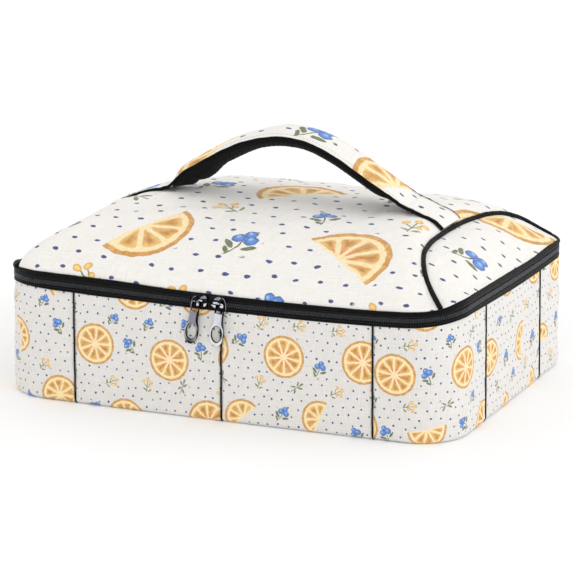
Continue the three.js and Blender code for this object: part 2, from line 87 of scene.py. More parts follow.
def edge(s):
    """Points of the outline s mm round it from the middle of the front towards +X, and the outward normals."""
    s = np.mod(np.asarray(s, float), PERIM)
    x, y, nx, ny = (np.zeros_like(s) for _ in range(4))
    b = np.concatenate([[0], np.cumsum(RUNS)])
    straights = {0: (0, -1), 2: (1, 0), 4: (0, 1), 6: (-1, 0), 8: (0, -1)}
    corners = {1: (SX, -SY, -0.5), 3: (SX, SY, 0.0), 5: (-SX, SY, 0.5), 7: (-SX, -SY, 1.0)}
    for k in range(9):
        m = (s >= b[k]) & (s < b[k + 1] if k < 8 else s <= b[k + 1] + 1e-6)
        t = s[m] - b[k]
        if k in straights:
            nx[m], ny[m] = straights[k]
            x[m], y[m] = {0: (t, -LY + 0 * t), 2: (LX + 0 * t, -SY + t), 4: (SX - t, LY + 0 * t), 6: (-LX + 0 * t, SY - t), 8: (-SX + t, -LY + 0 * t)}[k]
        else:
            cx, cy, a0 = corners[k]
            a = a0 * math.pi + t / CR
            nx[m], ny[m] = np.cos(a), np.sin(a)
            x[m], y[m] = cx + CR * nx[m], cy + CR * ny[m]
    return x, y, nx, ny


# the rim isn't level: it dips a little in the middle of the long sides and rises at the corners
_WS = [(0, -1.4), (19, -1.5), (84, -0.9), (123, 0.2), (148, 1.1), (172, 2.5), (198, 4.6), (216, 6.4), (249, 5.6), (284, 4.3), (320, 3.0), (357, 1.9),
       (400, 1.2), (434, 1.2), (467, 1.7), (500, 0.8), (535, 0.0), (658, 0.0), (781, 0.0), (816, 0.8), (849, 1.6), (882, 1.0), (985, 0.2),
       (1015, 0.0), (1040, -0.9), (1060, -2.4), (1078, -3.4), (1092, -2.8), (1108, -0.8), (1125, 0.7), (1146, 0.6), (1200, 0.3), (1255, -0.8),
       (1300, -1.3)]
_wx = np.arange(0, int(PERIM) + 1, 1.0)
_wy = np.interp(_wx, [p[0] for p in _WS] + [PERIM], [p[1] for p in _WS] + [-1.4])
_k = np.exp(-0.5 * (np.arange(-36, 37) / 11.0) ** 2)
_wy = np.convolve(np.concatenate([_wy[-36:], _wy, _wy[:36]]), _k / _k.sum(), "same")[36:-36]


def wave(s):
    return np.interp(np.mod(s, PERIM), _wx, _wy, period=PERIM)


def _smooth_table(rows, soft):
    xs = np.arange(0, int(PERIM) + 1, 1.0)
    r = sorted((p[0] % PERIM, p[1]) for p in rows)
    y = np.interp(xs, [p[0] for p in r], [p[1] for p in r], period=PERIM)
    k = np.exp(-0.5 * (np.arange(-40, 41) / soft) ** 2)
    return xs, np.convolve(np.concatenate([y[-40:], y, y[:40]]), k / k.sum(), "same")[40:-40]


# how much lower the band's upper edge and its lower edge lie than its middle
_UP = _smooth_table([(-90, 0.1), (-75, 0.4), (-60, 0.7), (-45, 1.0), (-28, 1.25), (10, 1.3), (40, 1.45), (70, 1.5), (100, 1.65), (130, 1.7), (158, 1.6), (180, 1.7), (191, 1.5),
                     (200, -0.3), (206, -1.2), (214, -1.7), (228, -1.6), (245, -1.0), (280, -1.2), (314, -0.9), (330, -0.7), (355, -0.4), (378, -0.3), (395, -1.2), (412, -1.8), (428, -0.8),
                     (444, 2.0), (458, 3.8), (480, 4.2), (500, 3.3), (530, 1.0), (560, 0), (900, 0), (1036, 0), (1062, 0.9), (1080, 2.0), (1098, 2.7), (1110, 2.4), (1122, 1.2), (1136, 0.2), (1150, 0)], 5.0)
_DN = _smooth_table([(190, 0), (205, -0.3), (224, 0.2), (240, 0.7), (262, 1.0), (290, 1.3), (314, 1.5), (344, 1.5), (374, 1.3), (404, 1.1), (434, 1.0), (470, 0.5), (500, 0), (900, 0),
                     (1115, 0), (1130, -0.9), (1152, -0.9), (1170, 0), (1188, 0), (1200, 0.5), (1214, 0.5), (1228, 0)], 6.0)


def lift(s, z):
    """Height that the rim's line adds to a point of the band at height z."""
    s = np.mod(s, PERIM)
    up = np.interp(s, *_UP, period=PERIM)
    dn = np.interp(s, *_DN, period=PERIM)
    return wave(s) - up * sstep(102.2, 108.4, z) - dn * sstep(98.8, 95.2, z)


def top_off(s):
    _, _, nx, ny = edge(s)
    return 0.3 * ny * ny - 0.7 * nx * nx


def body_off(s, f):
    """How far the wall stands outside the outline, f from 0 at the floor to 1 at the band."""
    x, y, nx, ny = edge(s)
    flat = np.where(np.abs(ny) > 0.999, 1.0, 0.0)
    bow = 1.7 * flat * clip01(1 - (x / SX) ** 2)
    return (1 - f) * (-0.9 * ny * ny + bow) + f * (0.3 * ny * ny - 0.7 * nx * nx)


def place(s, o, z):
    """Points at distance s round the outline, o outside it, at height z."""
    s, o, z = np.broadcast_arrays(np.asarray(s, float), np.asarray(o, float), np.asarray(z, float))
    x, y, nx, ny = edge(s)
    return np.stack([x + nx * o, y + ny * o, z], -1)


def waves(seed, lo, hi, n=12, a0=0.0, a1=math.pi):
    """A smooth seeded noise of x and y: a sum of plane waves lo to hi mm long, about 1 high."""
    r = np.random.RandomState(seed)
    th, lam, ph = r.uniform(a0, a1, n), np.exp(r.uniform(math.log(lo), math.log(hi), n)), r.uniform(0, 2 * math.pi, n)
    amp = (lam / hi) ** 0.6
    amp /= math.sqrt((amp ** 2).sum() / 2)

    def f(x, y):
        out = 0
        for t, l, p, a in zip(th, lam, ph, amp):
            out = out + a * np.sin(2 * math.pi / l * (x * math.cos(t) + y * math.sin(t)) + p)
        return out
    return f


# ---------------------------------------------------------------- mesh makers
def build(name, verts, polys, uvs=None, mat=None, mats=None, face_mat=None, flat=False):
    """A mesh object from points in mm and groups of faces. The faces of a closed body are turned outwards."""
    v = np.asarray(verts, float)
    vol = 0.0
    for p in polys:
        a = v[p[:, 0]]
        for k in range(1, p.shape[1] - 1):
            vol += np.einsum("ij,ij->i", a, np.cross(v[p[:, k]], v[p[:, k + 1]])).sum()
    if vol < 0:
        polys = [p[:, ::-1] for p in polys]
        uvs = None if uvs is None else [u[:, ::-1] for u in uvs]
    me = bpy.data.meshes.new(name)
    me.vertices.add(len(v))
    me.vertices.foreach_set("co", (v * MM).astype(np.float32).ravel())
    loops = np.concatenate([p.ravel() for p in polys]).astype(np.int32)
    sizes = np.concatenate([np.full(len(p), p.shape[1]) for p in polys])
    me.loops.add(len(loops))
    me.loops.foreach_set("vertex_index", loops)
    me.polygons.add(len(sizes))
    me.polygons.foreach_set("loop_start", np.concatenate([[0], np.cumsum(sizes)[:-1]]).astype(np.int32))
    me.polygons.foreach_set("use_smooth", np.full(len(sizes), not flat))
    if uvs is not None:
        layer = me.uv_layers.new(name="UVMap")
        layer.data.foreach_set("uv", np.concatenate([u.reshape(-1, 2) for u in uvs]).astype(np.float32).ravel())
    for m in mats or [mat]:
        if m is not None:
            me.materials.append(m)
    if face_mat is not None:
        me.polygons.foreach_set("material_index", np.concatenate(face_mat).astype(np.int32))
    me.update(calc_edges=True)
    me.validate()
    ob = bpy.data.objects.new(name, me)
    scene.collection.objects.link(ob)
    return ob


def grid_quads(n, m, base=0, wi=False, wj=False):
    i, j = np.arange(n if wi else n - 1), np.arange(m if wj else m - 1)
    I, J = np.meshgrid(i, j, indexing="ij")
    c = [(I, J), (I + 1, J), (I + 1, J + 1), (I, J + 1)]
    q = np.stack([base + (a % n) * m + (b % m) for a, b in c], -1).reshape(-1, 4)
    w = np.stack([a * (m + 1) + b for a, b in c], -1).reshape(-1, 4)
    return q, w


def lengths(P, axis):
    """Distance in mm along a grid's rows or columns, from their start."""
    d = np.linalg.norm(np.diff(P, axis=axis), axis=2)
    z = np.zeros_like(d[:1] if axis == 0 else d[:, :1])
    return np.concatenate([z, np.cumsum(d, axis)], axis)


def slab(name, P, Q, U, wi=False, **kw):
    """A closed cloth-like body between the grids P (shown side) and Q. U has the cloth's own u, v in mm."""
    n, m = P.shape[:2]
    N = n * m
    V = np.concatenate([P.reshape(-1, 3), Q.reshape(-1, 3)])
    Uf = np.zeros((n + 1, m + 1, 2))
    Uf[: U.shape[0], : U.shape[1]] = U
    if U.shape[0] == n:
        Uf[n] = Uf[n - 1]
    Uf[:, m] = Uf[:, m - 1]
    Uf = Uf.reshape(-1, 2)
    q, w = grid_quads(n, m, 0, wi)
    polys, uvs = [q, q[:, ::-1] + N], [Uf[w], Uf[w][:, ::-1]]
    idx = lambda i, j: (i % n) * m + j
    ud = lambda i, j: i * (m + 1) + j
    i = np.arange(n if wi else n - 1)
    rims = [((i + 1, 0 * i), (i, 0 * i)), ((i, 0 * i + m - 1), (i + 1, 0 * i + m - 1))]
    if not wi:
        j = np.arange(m - 1)
        rims += [((0 * j, j), (0 * j, j + 1)), ((0 * j + n - 1, j + 1), (0 * j + n - 1, j))]
    for a, b in rims:
        ia, ib, ua, ub = idx(*a), idx(*b), ud(*a), ud(*b)
        polys.append(np.stack([ia, ib, ib + N, ia + N], -1))
        uvs.append(np.stack([Uf[ua], Uf[ub], Uf[ub], Uf[ua]], 1))
    return build(name, V, polys, uvs, **kw)


def sweep(name, P, wi=False, **kw):
    """A closed body through the rings P[i]; open runs get a fan on each end."""
    n, m = P.shape[:2]
    V = P.reshape(-1, 3)
    q, w = grid_quads(n, m, 0, wi, True)
    C = P.mean(1)
    u = np.concatenate([[0], np.cumsum(np.linalg.norm(np.diff(np.concatenate([C, C[:1]]), axis=0), axis=1))])
    ring = np.concatenate([P, P[:, :1]], 1)
    v = lengths(ring, 1).mean(0)
    U = np.stack(np.meshgrid(u, v, indexing="ij"), -1).reshape(-1, 2)
    polys, uvs = [q], [U[w]]
    if not wi:
        V = np.concatenate([V, C[:1], C[-1:]])
        j = np.arange(m)
        k = (j + 1) % m
        for centre, row, flip in ((n * m, 0, False), (n * m + 1, n - 1, True)):
            a, b = row * m + j, row * m + k
            t = np.stack([np.full(m, centre), b, a], -1) if flip is False else np.stack([np.full(m, centre), a, b], -1)
            t = t[:, ::-1]
            polys.append(t)
            uvs.append(np.stack([np.full((m, 3), u[row]), np.stack([v[j], v[j], v[j]], -1)], -1))
    return build(name, V, polys, uvs, **kw)


def rings_of(path, r, sides=12, flatten=1.0, up=(0, 0, 1), round_ends=True):
    """Rings of a cord of radius r along a path of points."""
    path = np.asarray(path, float)
    r = np.broadcast_to(np.asarray(r, float), (len(path),)).copy()
    t = np.gradient(path, axis=0)
    t /= np.linalg.norm(t, axis=1)[:, None]
    a = np.cross(np.asarray(up, float), t)
    a /= np.linalg.norm(a, axis=1)[:, None]
    b = np.cross(t, a)
    if round_ends:
        ang = np.radians([80, 55, 28])
        path = np.concatenate([[path[0] - t[0] * r[0] * math.sin(x) for x in ang], path, [path[-1] + t[-1] * r[-1] * math.sin(x) for x in ang[::-1]]])
        r = np.concatenate([r[0] * np.cos(ang), r, r[-1] * np.cos(ang[::-1])])
        a = np.concatenate([a[:1]] * 3 + [a] + [a[-1:]] * 3)
        b = np.concatenate([b[:1]] * 3 + [b] + [b[-1:]] * 3)
    th = np.arange(sides) * 2 * math.pi / sides
    return path[:, None] + r[:, None, None] * (np.cos(th)[None, :, None] * a[:, None] + flatten * np.sin(th)[None, :, None] * b[:, None])


def capsule(length, rx, ry, sides=8):
    """Base shape of a stitch or a zip tooth: long along its first axis."""
    xs = np.array([-0.5, -0.47, -0.36, -0.2, 0.2, 0.36, 0.47, 0.5]) * length
    rr = np.array([0.0, 0.5, 0.88, 1.0, 1.0, 0.88, 0.5, 0.0])
    th = np.arange(sides) * 2 * math.pi / sides
    V = [[xs[0], 0, 0]]
    for x, r in zip(xs[1:-1], rr[1:-1]):
        V += [[x, rx * r * math.cos(t), ry * r * math.sin(t)] for t in th]
    V.append([xs[-1], 0, 0])
    quads, tris = [], []
    for k in range(5):
        for j in range(sides):
            a, b = 1 + k * sides + j, 1 + k * sides + (j + 1) % sides
            quads.append([a, b, b + sides, a + sides])
    for j in range(sides):
        a, b = 1 + j, 1 + (j + 1) % sides
        tris.append([0, b, a])
        c, d = 1 + 5 * sides + j, 1 + 5 * sides + (j + 1) % sides
        tris.append([len(V) - 1, c, d])
    return np.array(V), np.array(quads), np.array(tris)


def copies(name, shape, O, T, N, B, **kw):
    """One mesh holding a copy of a base shape at each O, along the axes T, N and B."""
    V, Q, R = shape
    W = O[:, None] + T[:, None] * V[None, :, :1] + N[:, None] * V[None, :, 1:2] + B[:, None] * V[None, :, 2:]
    off = (np.arange(len(O)) * len(V))[:, None, None]
    return build(name, W.reshape(-1, 3), [(Q[None] + off).reshape(-1, 4), (R[None] + off).reshape(-1, 3)], **kw)


def unit(v):
    return v / np.maximum(np.linalg.norm(v, axis=-1, keepdims=True), 1e-9)


def seam_copies(name, path, normal, pitch, length, r, lift=0.0, **kw):
    """A row of stitches along a path; normal points out of the cloth."""
    path = np.asarray(path, float)
    d = np.concatenate([[0], np.cumsum(np.linalg.norm(np.diff(path, axis=0), axis=1))])
    at = np.arange(pitch / 2, d[-1] - length / 2, pitch)
    O = np.stack([np.interp(at, d, path[:, k]) for k in range(3)], -1)
    O2 = np.stack([np.interp(at + 0.5, d, path[:, k]) for k in range(3)], -1)
    N = np.stack([np.interp(at, d, normal[:, k]) for k in range(3)], -1)
    T = unit(O2 - np.stack([np.interp(at - 0.5, d, path[:, k]) for k in range(3)], -1))
    N = unit(N - T * (N * T).sum(-1, keepdims=True))
    return copies(name, capsule(length, r, r * 1.25, 6), O + N * lift, T, N, np.cross(T, N), **kw)


# ---------------------------------------------------------------- shader helper: sums in a node tree
def lin(r, g, b):
    return tuple((c / 255 / 12.92) if c <= 10 else ((c / 255 + 0.055) / 1.055) ** 2.4 for c in (r, g, b)) + (1.0,)


class G:
    """A material's node tree, written as arithmetic."""

    def __init__(self, name):
        self.mat = bpy.data.materials.new(name)
        self.mat.use_nodes = True
        self.nt = self.mat.node_tree
        self.nt.nodes.clear()
        self.out = self.nt.nodes.new("ShaderNodeOutputMaterial")
        self.bsdf = self.nt.nodes.new("ShaderNodeBsdfPrincipled")
        self.nt.links.new(self.bsdf.outputs[0], self.out.inputs[0])
        uv = self.nt.nodes.new("ShaderNodeUVMap")
        uv.uv_map = "UVMap"
        sep = self.nt.nodes.new("ShaderNodeSeparateXYZ")
        self.nt.links.new(uv.outputs[0], sep.inputs[0])
        self.u, self.v, self.uv = E(self, sep.outputs[0]), E(self, sep.outputs[1]), E(self, uv.outputs[0])

    def plug(self, sock, val):
        if isinstance(val, E):
            self.nt.links.new(val.sock, sock)
        else:
            sock.default_value = val

    def m(self, op, *args):
        n = self.nt.nodes.new("ShaderNodeMath")
        n.operation = op
        for k, a in enumerate(args):
            self.plug(n.inputs[k], a)
        return E(self, n.outputs[0])

    def ss(self, x, a, b, to0=0.0, to1=1.0, kind="SMOOTHSTEP"):
        n = self.nt.nodes.new("ShaderNodeMapRange")
        n.interpolation_type = kind
        self.plug(n.inputs["Value"], x)
        self.plug(n.inputs["From Min"], a)
        self.plug(n.inputs["From Max"], b)
        self.plug(n.inputs["To Min"], to0)
        self.plug(n.inputs["To Max"], to1)
        return E(self, n.outputs[0])

    def vec(self, x, y, z=0.0):
        n = self.nt.nodes.new("ShaderNodeCombineXYZ")
        for k, a in enumerate((x, y, z)):
            self.plug(n.inputs[k], a)
        return E(self, n.outputs[0])

    def white(self, x, y, z):
        n = self.nt.nodes.new("ShaderNodeTexWhiteNoise")
        n.noise_dimensions = "3D"
        self.plug(n.inputs["Vector"], self.vec(x, y, z))
        s = self.nt.nodes.new("ShaderNodeSeparateColor")
        self.nt.links.new(n.outputs["Color"], s.inputs[0])
        return E(self, n.outputs["Value"]), E(self, s.outputs[0]), E(self, s.outputs[1]), E(self, s.outputs[2])

    def noise(self, vec, scale, detail=2.0, rough=0.5, color=False):
        n = self.nt.nodes.new("ShaderNodeTexNoise")
        self.plug(n.inputs["Vector"], vec)
        n.inputs["Scale"].default_value = scale
        n.inputs["Detail"].default_value = detail
        n.inputs["Roughness"].default_value = rough
        if not color:
            return E(self, n.outputs[0])
        s = self.nt.nodes.new("ShaderNodeSeparateColor")
        self.nt.links.new(n.outputs[1], s.inputs[0])
        return E(self, s.outputs[0]), E(self, s.outputs[1]), E(self, s.outputs[2])

    def voronoi(self, vec, scale, feature="F1", rand=1.0):
        n = self.nt.nodes.new("ShaderNodeTexVoronoi")
        n.feature = feature
        self.plug(n.inputs["Vector"], vec)
        n.inputs["Scale"].default_value = scale
        n.inputs["Randomness"].default_value = rand
        return E(self, n.outputs["Distance"])

    def mix(self, fac, a, b):
        n = self.nt.nodes.new("ShaderNodeMix")
        n.data_type = "RGBA"
        self.plug(n.inputs[0], fac)
        self.plug(n.inputs[6], a)
        self.plug(n.inputs[7], b)
        return E(self, n.outputs[2])

    def scale_color(self, col, f):
        n = self.nt.nodes.new("ShaderNodeVectorMath")
        n.operation = "SCALE"
        self.plug(n.inputs[0], col)
        self.plug(n.inputs["Scale"], f)
        return E(self, n.outputs[0])

    def obj(self):
        n = self.nt.nodes.new("ShaderNodeTexCoord")
        return E(self, n.outputs["Object"])

    def bump(self, height, dist, strength=1.0, normal=None):
        n = self.nt.nodes.new("ShaderNodeBump")
        n.inputs["Strength"].default_value = strength
        n.inputs["Distance"].default_value = dist
        self.plug(n.inputs["Height"], height)
        if normal is not None:
            self.plug(n.inputs["Normal"], normal)
        return E(self, n.outputs[0])

    def set(self, **kw):
        for k, val in kw.items():
            self.plug(self.bsdf.inputs[k.replace("_", " ")], val)
        return self.mat


class E:
    def __init__(self, g, sock):
        self.g, self.sock = g, sock

    def __add__(self, o): return self.g.m("ADD", self, o)
    def __radd__(self, o): return self.g.m("ADD", o, self)
    def __sub__(self, o): return self.g.m("SUBTRACT", self, o)
    def __rsub__(self, o): return self.g.m("SUBTRACT", o, self)
    def __mul__(self, o): return self.g.m("MULTIPLY", self, o)
    def __rmul__(self, o): return self.g.m("MULTIPLY", o, self)
    def __truediv__(self, o): return self.g.m("DIVIDE", self, o)
    def floor(self): return self.g.m("FLOOR", self)
    def fract(self): return self.g.m("FRACT", self)
    def abs(self): return self.g.m("ABSOLUTE", self)
    def sqrt(self): return self.g.m("SQRT", self)
    def sin(self): return self.g.m("SINE", self)
    def cos(self): return self.g.m("COSINE", self)
    def min(self, o): return self.g.m("MINIMUM", self, o)
    def max(self, o): return self.g.m("MAXIMUM", self, o)
    def lt(self, o): return self.g.m("LESS_THAN", self, o)
    def gt(self, o): return self.g.m("GREATER_THAN", self, o)


# ---------------------------------------------------------------- the printed cloth
def printed(name, size, du, dv, shade, light, wide=1.0):
    """Cream linen with a scattered print: citrus slices, berry sprigs and bud sprigs on a dotted ground.
    size is how large the print is: 1 on the wall, 2.5 on the lid."""
    g = G(name)
    fu, fv = g.u, g.v
    u, v = fu * (1 / size) + du, fv * (1 / size) + dv
    wr, wg, wb = g.noise(g.vec(u, v), 0.32, 2.0, 0.6, color=True)
    u, v = u + (wr - 0.5) * 1.5, v + (wg - 0.5) * 1.5
    p = g.vec(u, v)
    fine = g.noise(p, 0.9, 3.0, 0.6)
    broad = g.noise(p, 0.22, 3.0, 0.55)
    CW, CH = 66.0, 52.0
    vr = v / CH
    row = vr.floor()
    cu = u / CW + (row * 0.5).fract()

    def turn(x, y, a):
        c, s = a.cos(), a.sin()
        return x * c + y * s, y * c - x * s

    def disc(x, y, cx, cy, rx, ry=None, ang=None):
        """Below 1 inside an ellipse."""
        x, y = x - cx, y - cy
        if ang is not None:
            c, s = math.cos(ang), math.sin(ang)
            x, y = x * c + y * s, y * c - x * s
        x, y = x * (1 / rx), y * (1 / (ry or rx))
        return (x * x + y * y).sqrt()

    # ----- citrus slices
    col = cu.floor()
    val, r1, r2, r3 = g.white(col, row, 3.1)
    lx = (cu - col - 0.5) * CW - (r1 - 0.5) * 12
    ly = (vr - row - 0.5) * CH - (r2 - 0.5) * 9
    lx, ly = turn(lx, ly, r3 * 6.283)
    half = (r2 * 7.3).fract().lt(0.36)
    ly = ly + half * 7.0
    r = (lx * lx + ly * ly).sqrt()
    R = 15.6 + val * 2.6
    th = g.m("ARCTAN2", ly, lx)
    seg = ((th + val * 5.0) * (9 / 6.28318)).fract()
    e = (0.5 - (seg - 0.5).abs()) * (6.28318 / 9) * r - 0.62
    cut = g.m("SUBTRACT", ly, half * 7.0 * 0.0)
    keep = ly + (1 - half) * 100.0              # above 0 on what is kept of a half slice
    d = g.m("SMOOTH_MIN", e, R - 3.7 - r, 2.2)
    d = g.m("SMOOTH_MIN", d, keep - 0.9, 1.0)
    d = d.min(r - 1.4)
    pulp = g.ss(d, 0.0, 0.55)
    streak = g.noise(g.vec(th * 5.5, r * 0.10, val * 9), 1.6, 3.0, 0.6)
    deep = g.ss(d, 0.2, 3.0) * 0.55 + (streak - 0.5) * 1.3 + (broad - 0.45) * 1.1
    gold = g.mix(g.ss(deep, -0.15, 0.75), lin(233, 192, 122), lin(194, 134, 74))
    gold = g.mix(g.ss(val, 0.62, 0.8) * g.ss(r, 9.0, 3.0) * 0.7, gold, lin(221, 104, 84))
    pith = g.mix(g.ss(fine, 0.35, 0.7), lin(250, 232, 192), lin(244, 217, 160))
    rind = g.mix(g.ss(fine * 0.5 + broad * 0.5, 0.35, 0.62), lin(226, 180, 108), lin(200, 144, 80))
    fruit = g.mix(pulp, pith, gold)
    fruit = g.mix(g.ss(r - R, -2.3, -1.6), fruit, rind)
    fruit = g.mix(g.ss(r - R, -0.55, -0.1) * 0.6, fruit, lin(172, 116, 60))
    out1 = (R - r).min(keep)                    # distance inside the slice
    a1 = g.ss(out1, -0.15, 0.3)

    # ----- berry sprigs between the slices of a row
    def berries(x, y):
        m1, m2, m3 = disc(x, y, -2.5, 2.0, 2.5), disc(x, y, 2.4, 2.5, 2.6), disc(x, y, 0.0, 5.4, 2.3)
        low = m1.min(m2).min(m3)
        lit = disc(x, y, -3.2, 2.8, 1.1).min(disc(x, y, 1.6, 3.3, 1.15)).min(disc(x, y, -0.7, 6.1, 0.9))
        blue = g.mix(g.ss(low + (fine - 0.5) * 0.9, 0.35, 1.0), lin(92, 143, 213), lin(58, 96, 176))
        blue = g.mix(g.ss(lit, 1.15, 0.3) * 0.85, blue, lin(164, 200, 236))
        leaf = disc(x, y, -3.7, -1.9, 3.0, 1.15, -0.55).min(disc(x, y, 3.9, -1.3, 2.9, 1.1, 0.6)).min(disc(x, y, -2.6, -5.2, 2.3, 0.85, -0.85))
        stem = ((x + (y + 1.0) * (y + 1.0) * 0.045).abs() * 2.6).max(disc(x, y, 0.0, -2.6, 9.0, 5.2) * 1.0)
        green = g.mix(g.ss(fine, 0.35, 0.65), lin(126, 134, 92), lin(88, 100, 66))
        ag = g.ss(leaf.min(stem), 1.06, 0.84)
        ab = g.ss(low, 1.05, 0.9)
        return g.mix(ab, green, blue), ag.max(ab)

    def buds(x, y):
        b = disc(x, y, -3.2, 3.1, 1.6, 1.3, 0.5).min(disc(x, y, 0.6, 4.9, 1.5, 1.7)).min(disc(x, y, 3.6, 2.2, 1.7, 1.3, -0.5)).min(disc(x, y, 1.9, -0.9, 1.15))
        st = ((x - y * 0.1).abs() * 3.0).max(disc(x, y, 0.2, -0.6, 9.0, 5.4)).min(((x.abs() * 0.9 - (y + 1.6) * 0.8).abs() * 2.7).max(disc(x, y, 0.0, 0.6, 3.2, 2.6)))
        leaf = disc(x, y, -1.9, -3.4, 2.1, 0.75, -0.5).min(disc(x, y, 2.1, -4.2, 1.9, 0.7, 0.55))
        yellow = g.mix(g.ss(b + (fine - 0.5), 0.2, 0.95), lin(246, 212, 128), lin(226, 164, 78))
        ab = g.ss(b, 1.06, 0.88)
        ag = g.ss(leaf.min(st), 1.06, 0.84)
        return g.mix(ab, lin(134, 138, 96), yellow), ag.max(ab)

    def twig(x, y):
        leaf = disc(x, y.abs(), 2.0, 2.9, 2.2, 0.8, 0.9).min(disc(x, (y - 0.8).abs(), -2.0, 2.4, 2.2, 0.8, -0.9)).min(disc(x, y, 0.0, 5.6, 0.85, 2.0))
        st = ((x - 0.2).abs() * 3.0).max(disc(x, y, 0, -0.4, 9.0, 5.6))
        return g.mix(g.ss(fine, 0.3, 0.7), lin(138, 142, 104), lin(96, 106, 72)), g.ss(leaf.min(st), 1.06, 0.84)

    ca = cu + 0.5
    cola = ca.floor()
    va, s1, s2, s3 = g.white(cola, row, 7.7)
    ax, ay = (ca - cola - 0.5) * CW - (s1 - 0.5) * 5, (vr - row - 0.5) * CH - (s2 - 0.5) * 20
    ax, ay = turn(ax, ay, (s3 - 0.5) * 2.2)
    c2, a2 = berries(ax, ay)

    cb, rb = u / (CW / 2), vr + 0.5
    colb, rowb = cb.floor(), rb.floor()
    vb, t1, t2, t3 = g.white(colb, rowb, 11.3)
    bx, by = (cb - colb - 0.5) * (CW / 2) - (t1 - 0.5) * 5, (rb - rowb - 0.5) * CH - (t2 - 0.5) * 4
    bx, by = turn(bx, by, (t3 - 0.5) * 2.8)
    c3, a3 = buds(bx, by)
    c4, a4 = twig(bx, by)
    c5, a5 = berries(bx * 1.2, by * 1.2)
    k4, k5 = vb.lt(0.26), vb.gt(0.66)
    c3 = g.mix(k5, g.mix(k4, c3, c4), c5)
    a3 = g.mix(k5, g.mix(k4, a3, a4), a5)

    # ----- dots
    DW, DH = 8.6, 7.4
    dr = v / DH
    drow = dr.floor()
    dc = u / DW + (drow * 0.5).fract()
    dcol = dc.floor()
    vd, d1, d2, d3 = g.white(dcol, drow, 17.9)
    dx, dy = (dc - dcol - 0.5) * DW - (d1 - 0.5) * 2.4, (dr - drow - 0.5) * DH - (d2 - 0.5) * 2.2
    ex, ey = dx * (1 / wide), dy * wide
    dot = (ex * ex + ey * ey).sqrt() - (0.78 + d3 * 0.2)
    clear = g.ss(out1, -1.0, -2.2) * g.ss((ax * ax + ay * ay).sqrt(), 6.5, 8.5) * g.ss((bx * bx + by * by).sqrt(), 5.6, 7.4)
    adot = g.ss(dot, 0.12, -0.22) * clear

    # ----- ground, thread by thread
    thread_u = g.noise(g.vec(fu * 0.06, fv * 1.9), 1.0, 3.0, 0.6)
    thread_v = g.noise(g.vec(fu * 1.9, fv * 0.06, 5.0), 1.0, 3.0, 0.6)
    slub = (thread_u + thread_v) * 0.5
    ground = g.mix(g.ss(slub, 0.36, 0.62), lin(*shade), lin(*light))
    colr = g.mix(adot * 0.95, ground, g.mix(g.ss(fine, 0.3, 0.7), lin(66, 78, 140), lin(48, 58, 112)))
    colr = g.mix(a3 * 0.95, colr, c3)
    colr = g.mix(a2 * 0.95, colr, c2)
    colr = g.mix(a1, colr, fruit)
    colr = g.scale_color(colr, g.ss(slub, 0.3, 0.7, 0.955, 1.0))
    weave = (fu * (6.28318 / 0.72)).sin() * (fv * (6.28318 / 0.72)).sin()
    n1 = g.bump(slub, 0.35 * MM, 0.55)
    n2 = g.bump(weave, 0.05 * MM, 0.45, n1)
    return g.set(Base_Color=colr, Roughness=0.86, Normal=n2, Sheen_Weight=0.12, Sheen_Roughness=0.5, Specular_IOR_Level=0.25)


M = {}
# the same cream cloth, its ground set darker on the wall and lighter on the lid: painted shade on the upright walls,
# painted light on the lid
M["wall"] = printed("printed_cloth_wall_shaded", 1.0, 13.0, 8.0, (218, 215, 210), (230, 227, 223))
M["lid"] = printed("printed_cloth_lid_lit", 2.5, 31.0, 17.0, (232, 228, 222), (243, 240, 235), 1.22)


def black_cloth(name, rough, pitch, tone=(30, 30, 33), sheen=0.35, angle=0.6, depth=0.12, spec=0.3):
    g = G(name)
    c, s = math.cos(angle), math.sin(angle)
    a = ((g.u * c + g.v * s) * (6.28318 / pitch)).sin()
    b = ((g.v * c - g.u * s) * (6.28318 / pitch)).sin()
    n = g.noise(g.vec(g.u, g.v), 0.9, 4.0, 0.6)
    broad = g.noise(g.vec(g.u, g.v), 0.08, 2.0)
    col = g.mix(g.ss(n * 0.6 + a * b * 0.25 + broad * 0.3, 0.25, 0.8), lin(*[int(t * 0.72) for t in tone]), lin(*[int(t * 1.3) for t in tone]))
    return g.set(Base_Color=col, Roughness=g.ss(n, 0.2, 0.8, rough - 0.08, rough + 0.08), Normal=g.bump(a * b + n * 0.6, depth * MM, 0.7),
                 Sheen_Weight=sheen, Sheen_Roughness=0.45, Specular_IOR_Level=spec)


M["trim"] = black_cloth("black_trim", 0.55, 0.62, (11, 11, 12), 0.02, spec=0.09)
M["tape"] = black_cloth("zip_tape", 0.5, 0.55, (12, 12, 13), 0.02, 0.785, spec=0.1)
M["base"] = black_cloth("base_cloth", 0.7, 1.1, (24, 24, 26), 0.08, 0.0, 0.25, spec=0.2)
M["mesh"] = black_cloth("handle_mesh", 0.75, 3.1, (17, 17, 18), 0.03, 0.785, 0.3, spec=0.1)
M["thread"] = black_cloth("black_thread", 0.45, 0.35, (38, 38, 42), 0.05, spec=0.3)
M["cream"] = black_cloth("cream_thread", 0.6, 0.35, (186, 182, 172), 0.1, spec=0.25)


def coil_mat():
    g = G("zip_coil")
    n = g.noise(g.obj(), 900.0, 2.0)
    # the teeth are a grey lighter than the black tape: partly their own dark grey, partly painted highlight for the
    # glints on their heads
    col = g.mix(n, lin(52, 52, 56), lin(92, 92, 98))
    return g.set(Base_Color=col, Roughness=g.ss(n, 0.2, 0.8, 0.2, 0.34), Normal=g.bump(n, 0.03 * MM, 0.4), Coat_Weight=0.4)


M["coil"] = coil_mat()


def metal(name, a, b, r0, r1):
    g = G(name)
    o = g.obj()
    n = g.noise(o, 260.0, 3.0)
    f = g.noise(o, 1400.0, 2.0, 0.7)
    col = g.mix(g.ss(n, 0.3, 0.7), lin(*a), lin(*b))
    return g.set(Base_Color=col, Metallic=1.0, Roughness=g.ss(n * 0.6 + f * 0.4, 0.3, 0.7, r0, r1), Normal=g.bump(f, 0.008 * MM, 0.3))


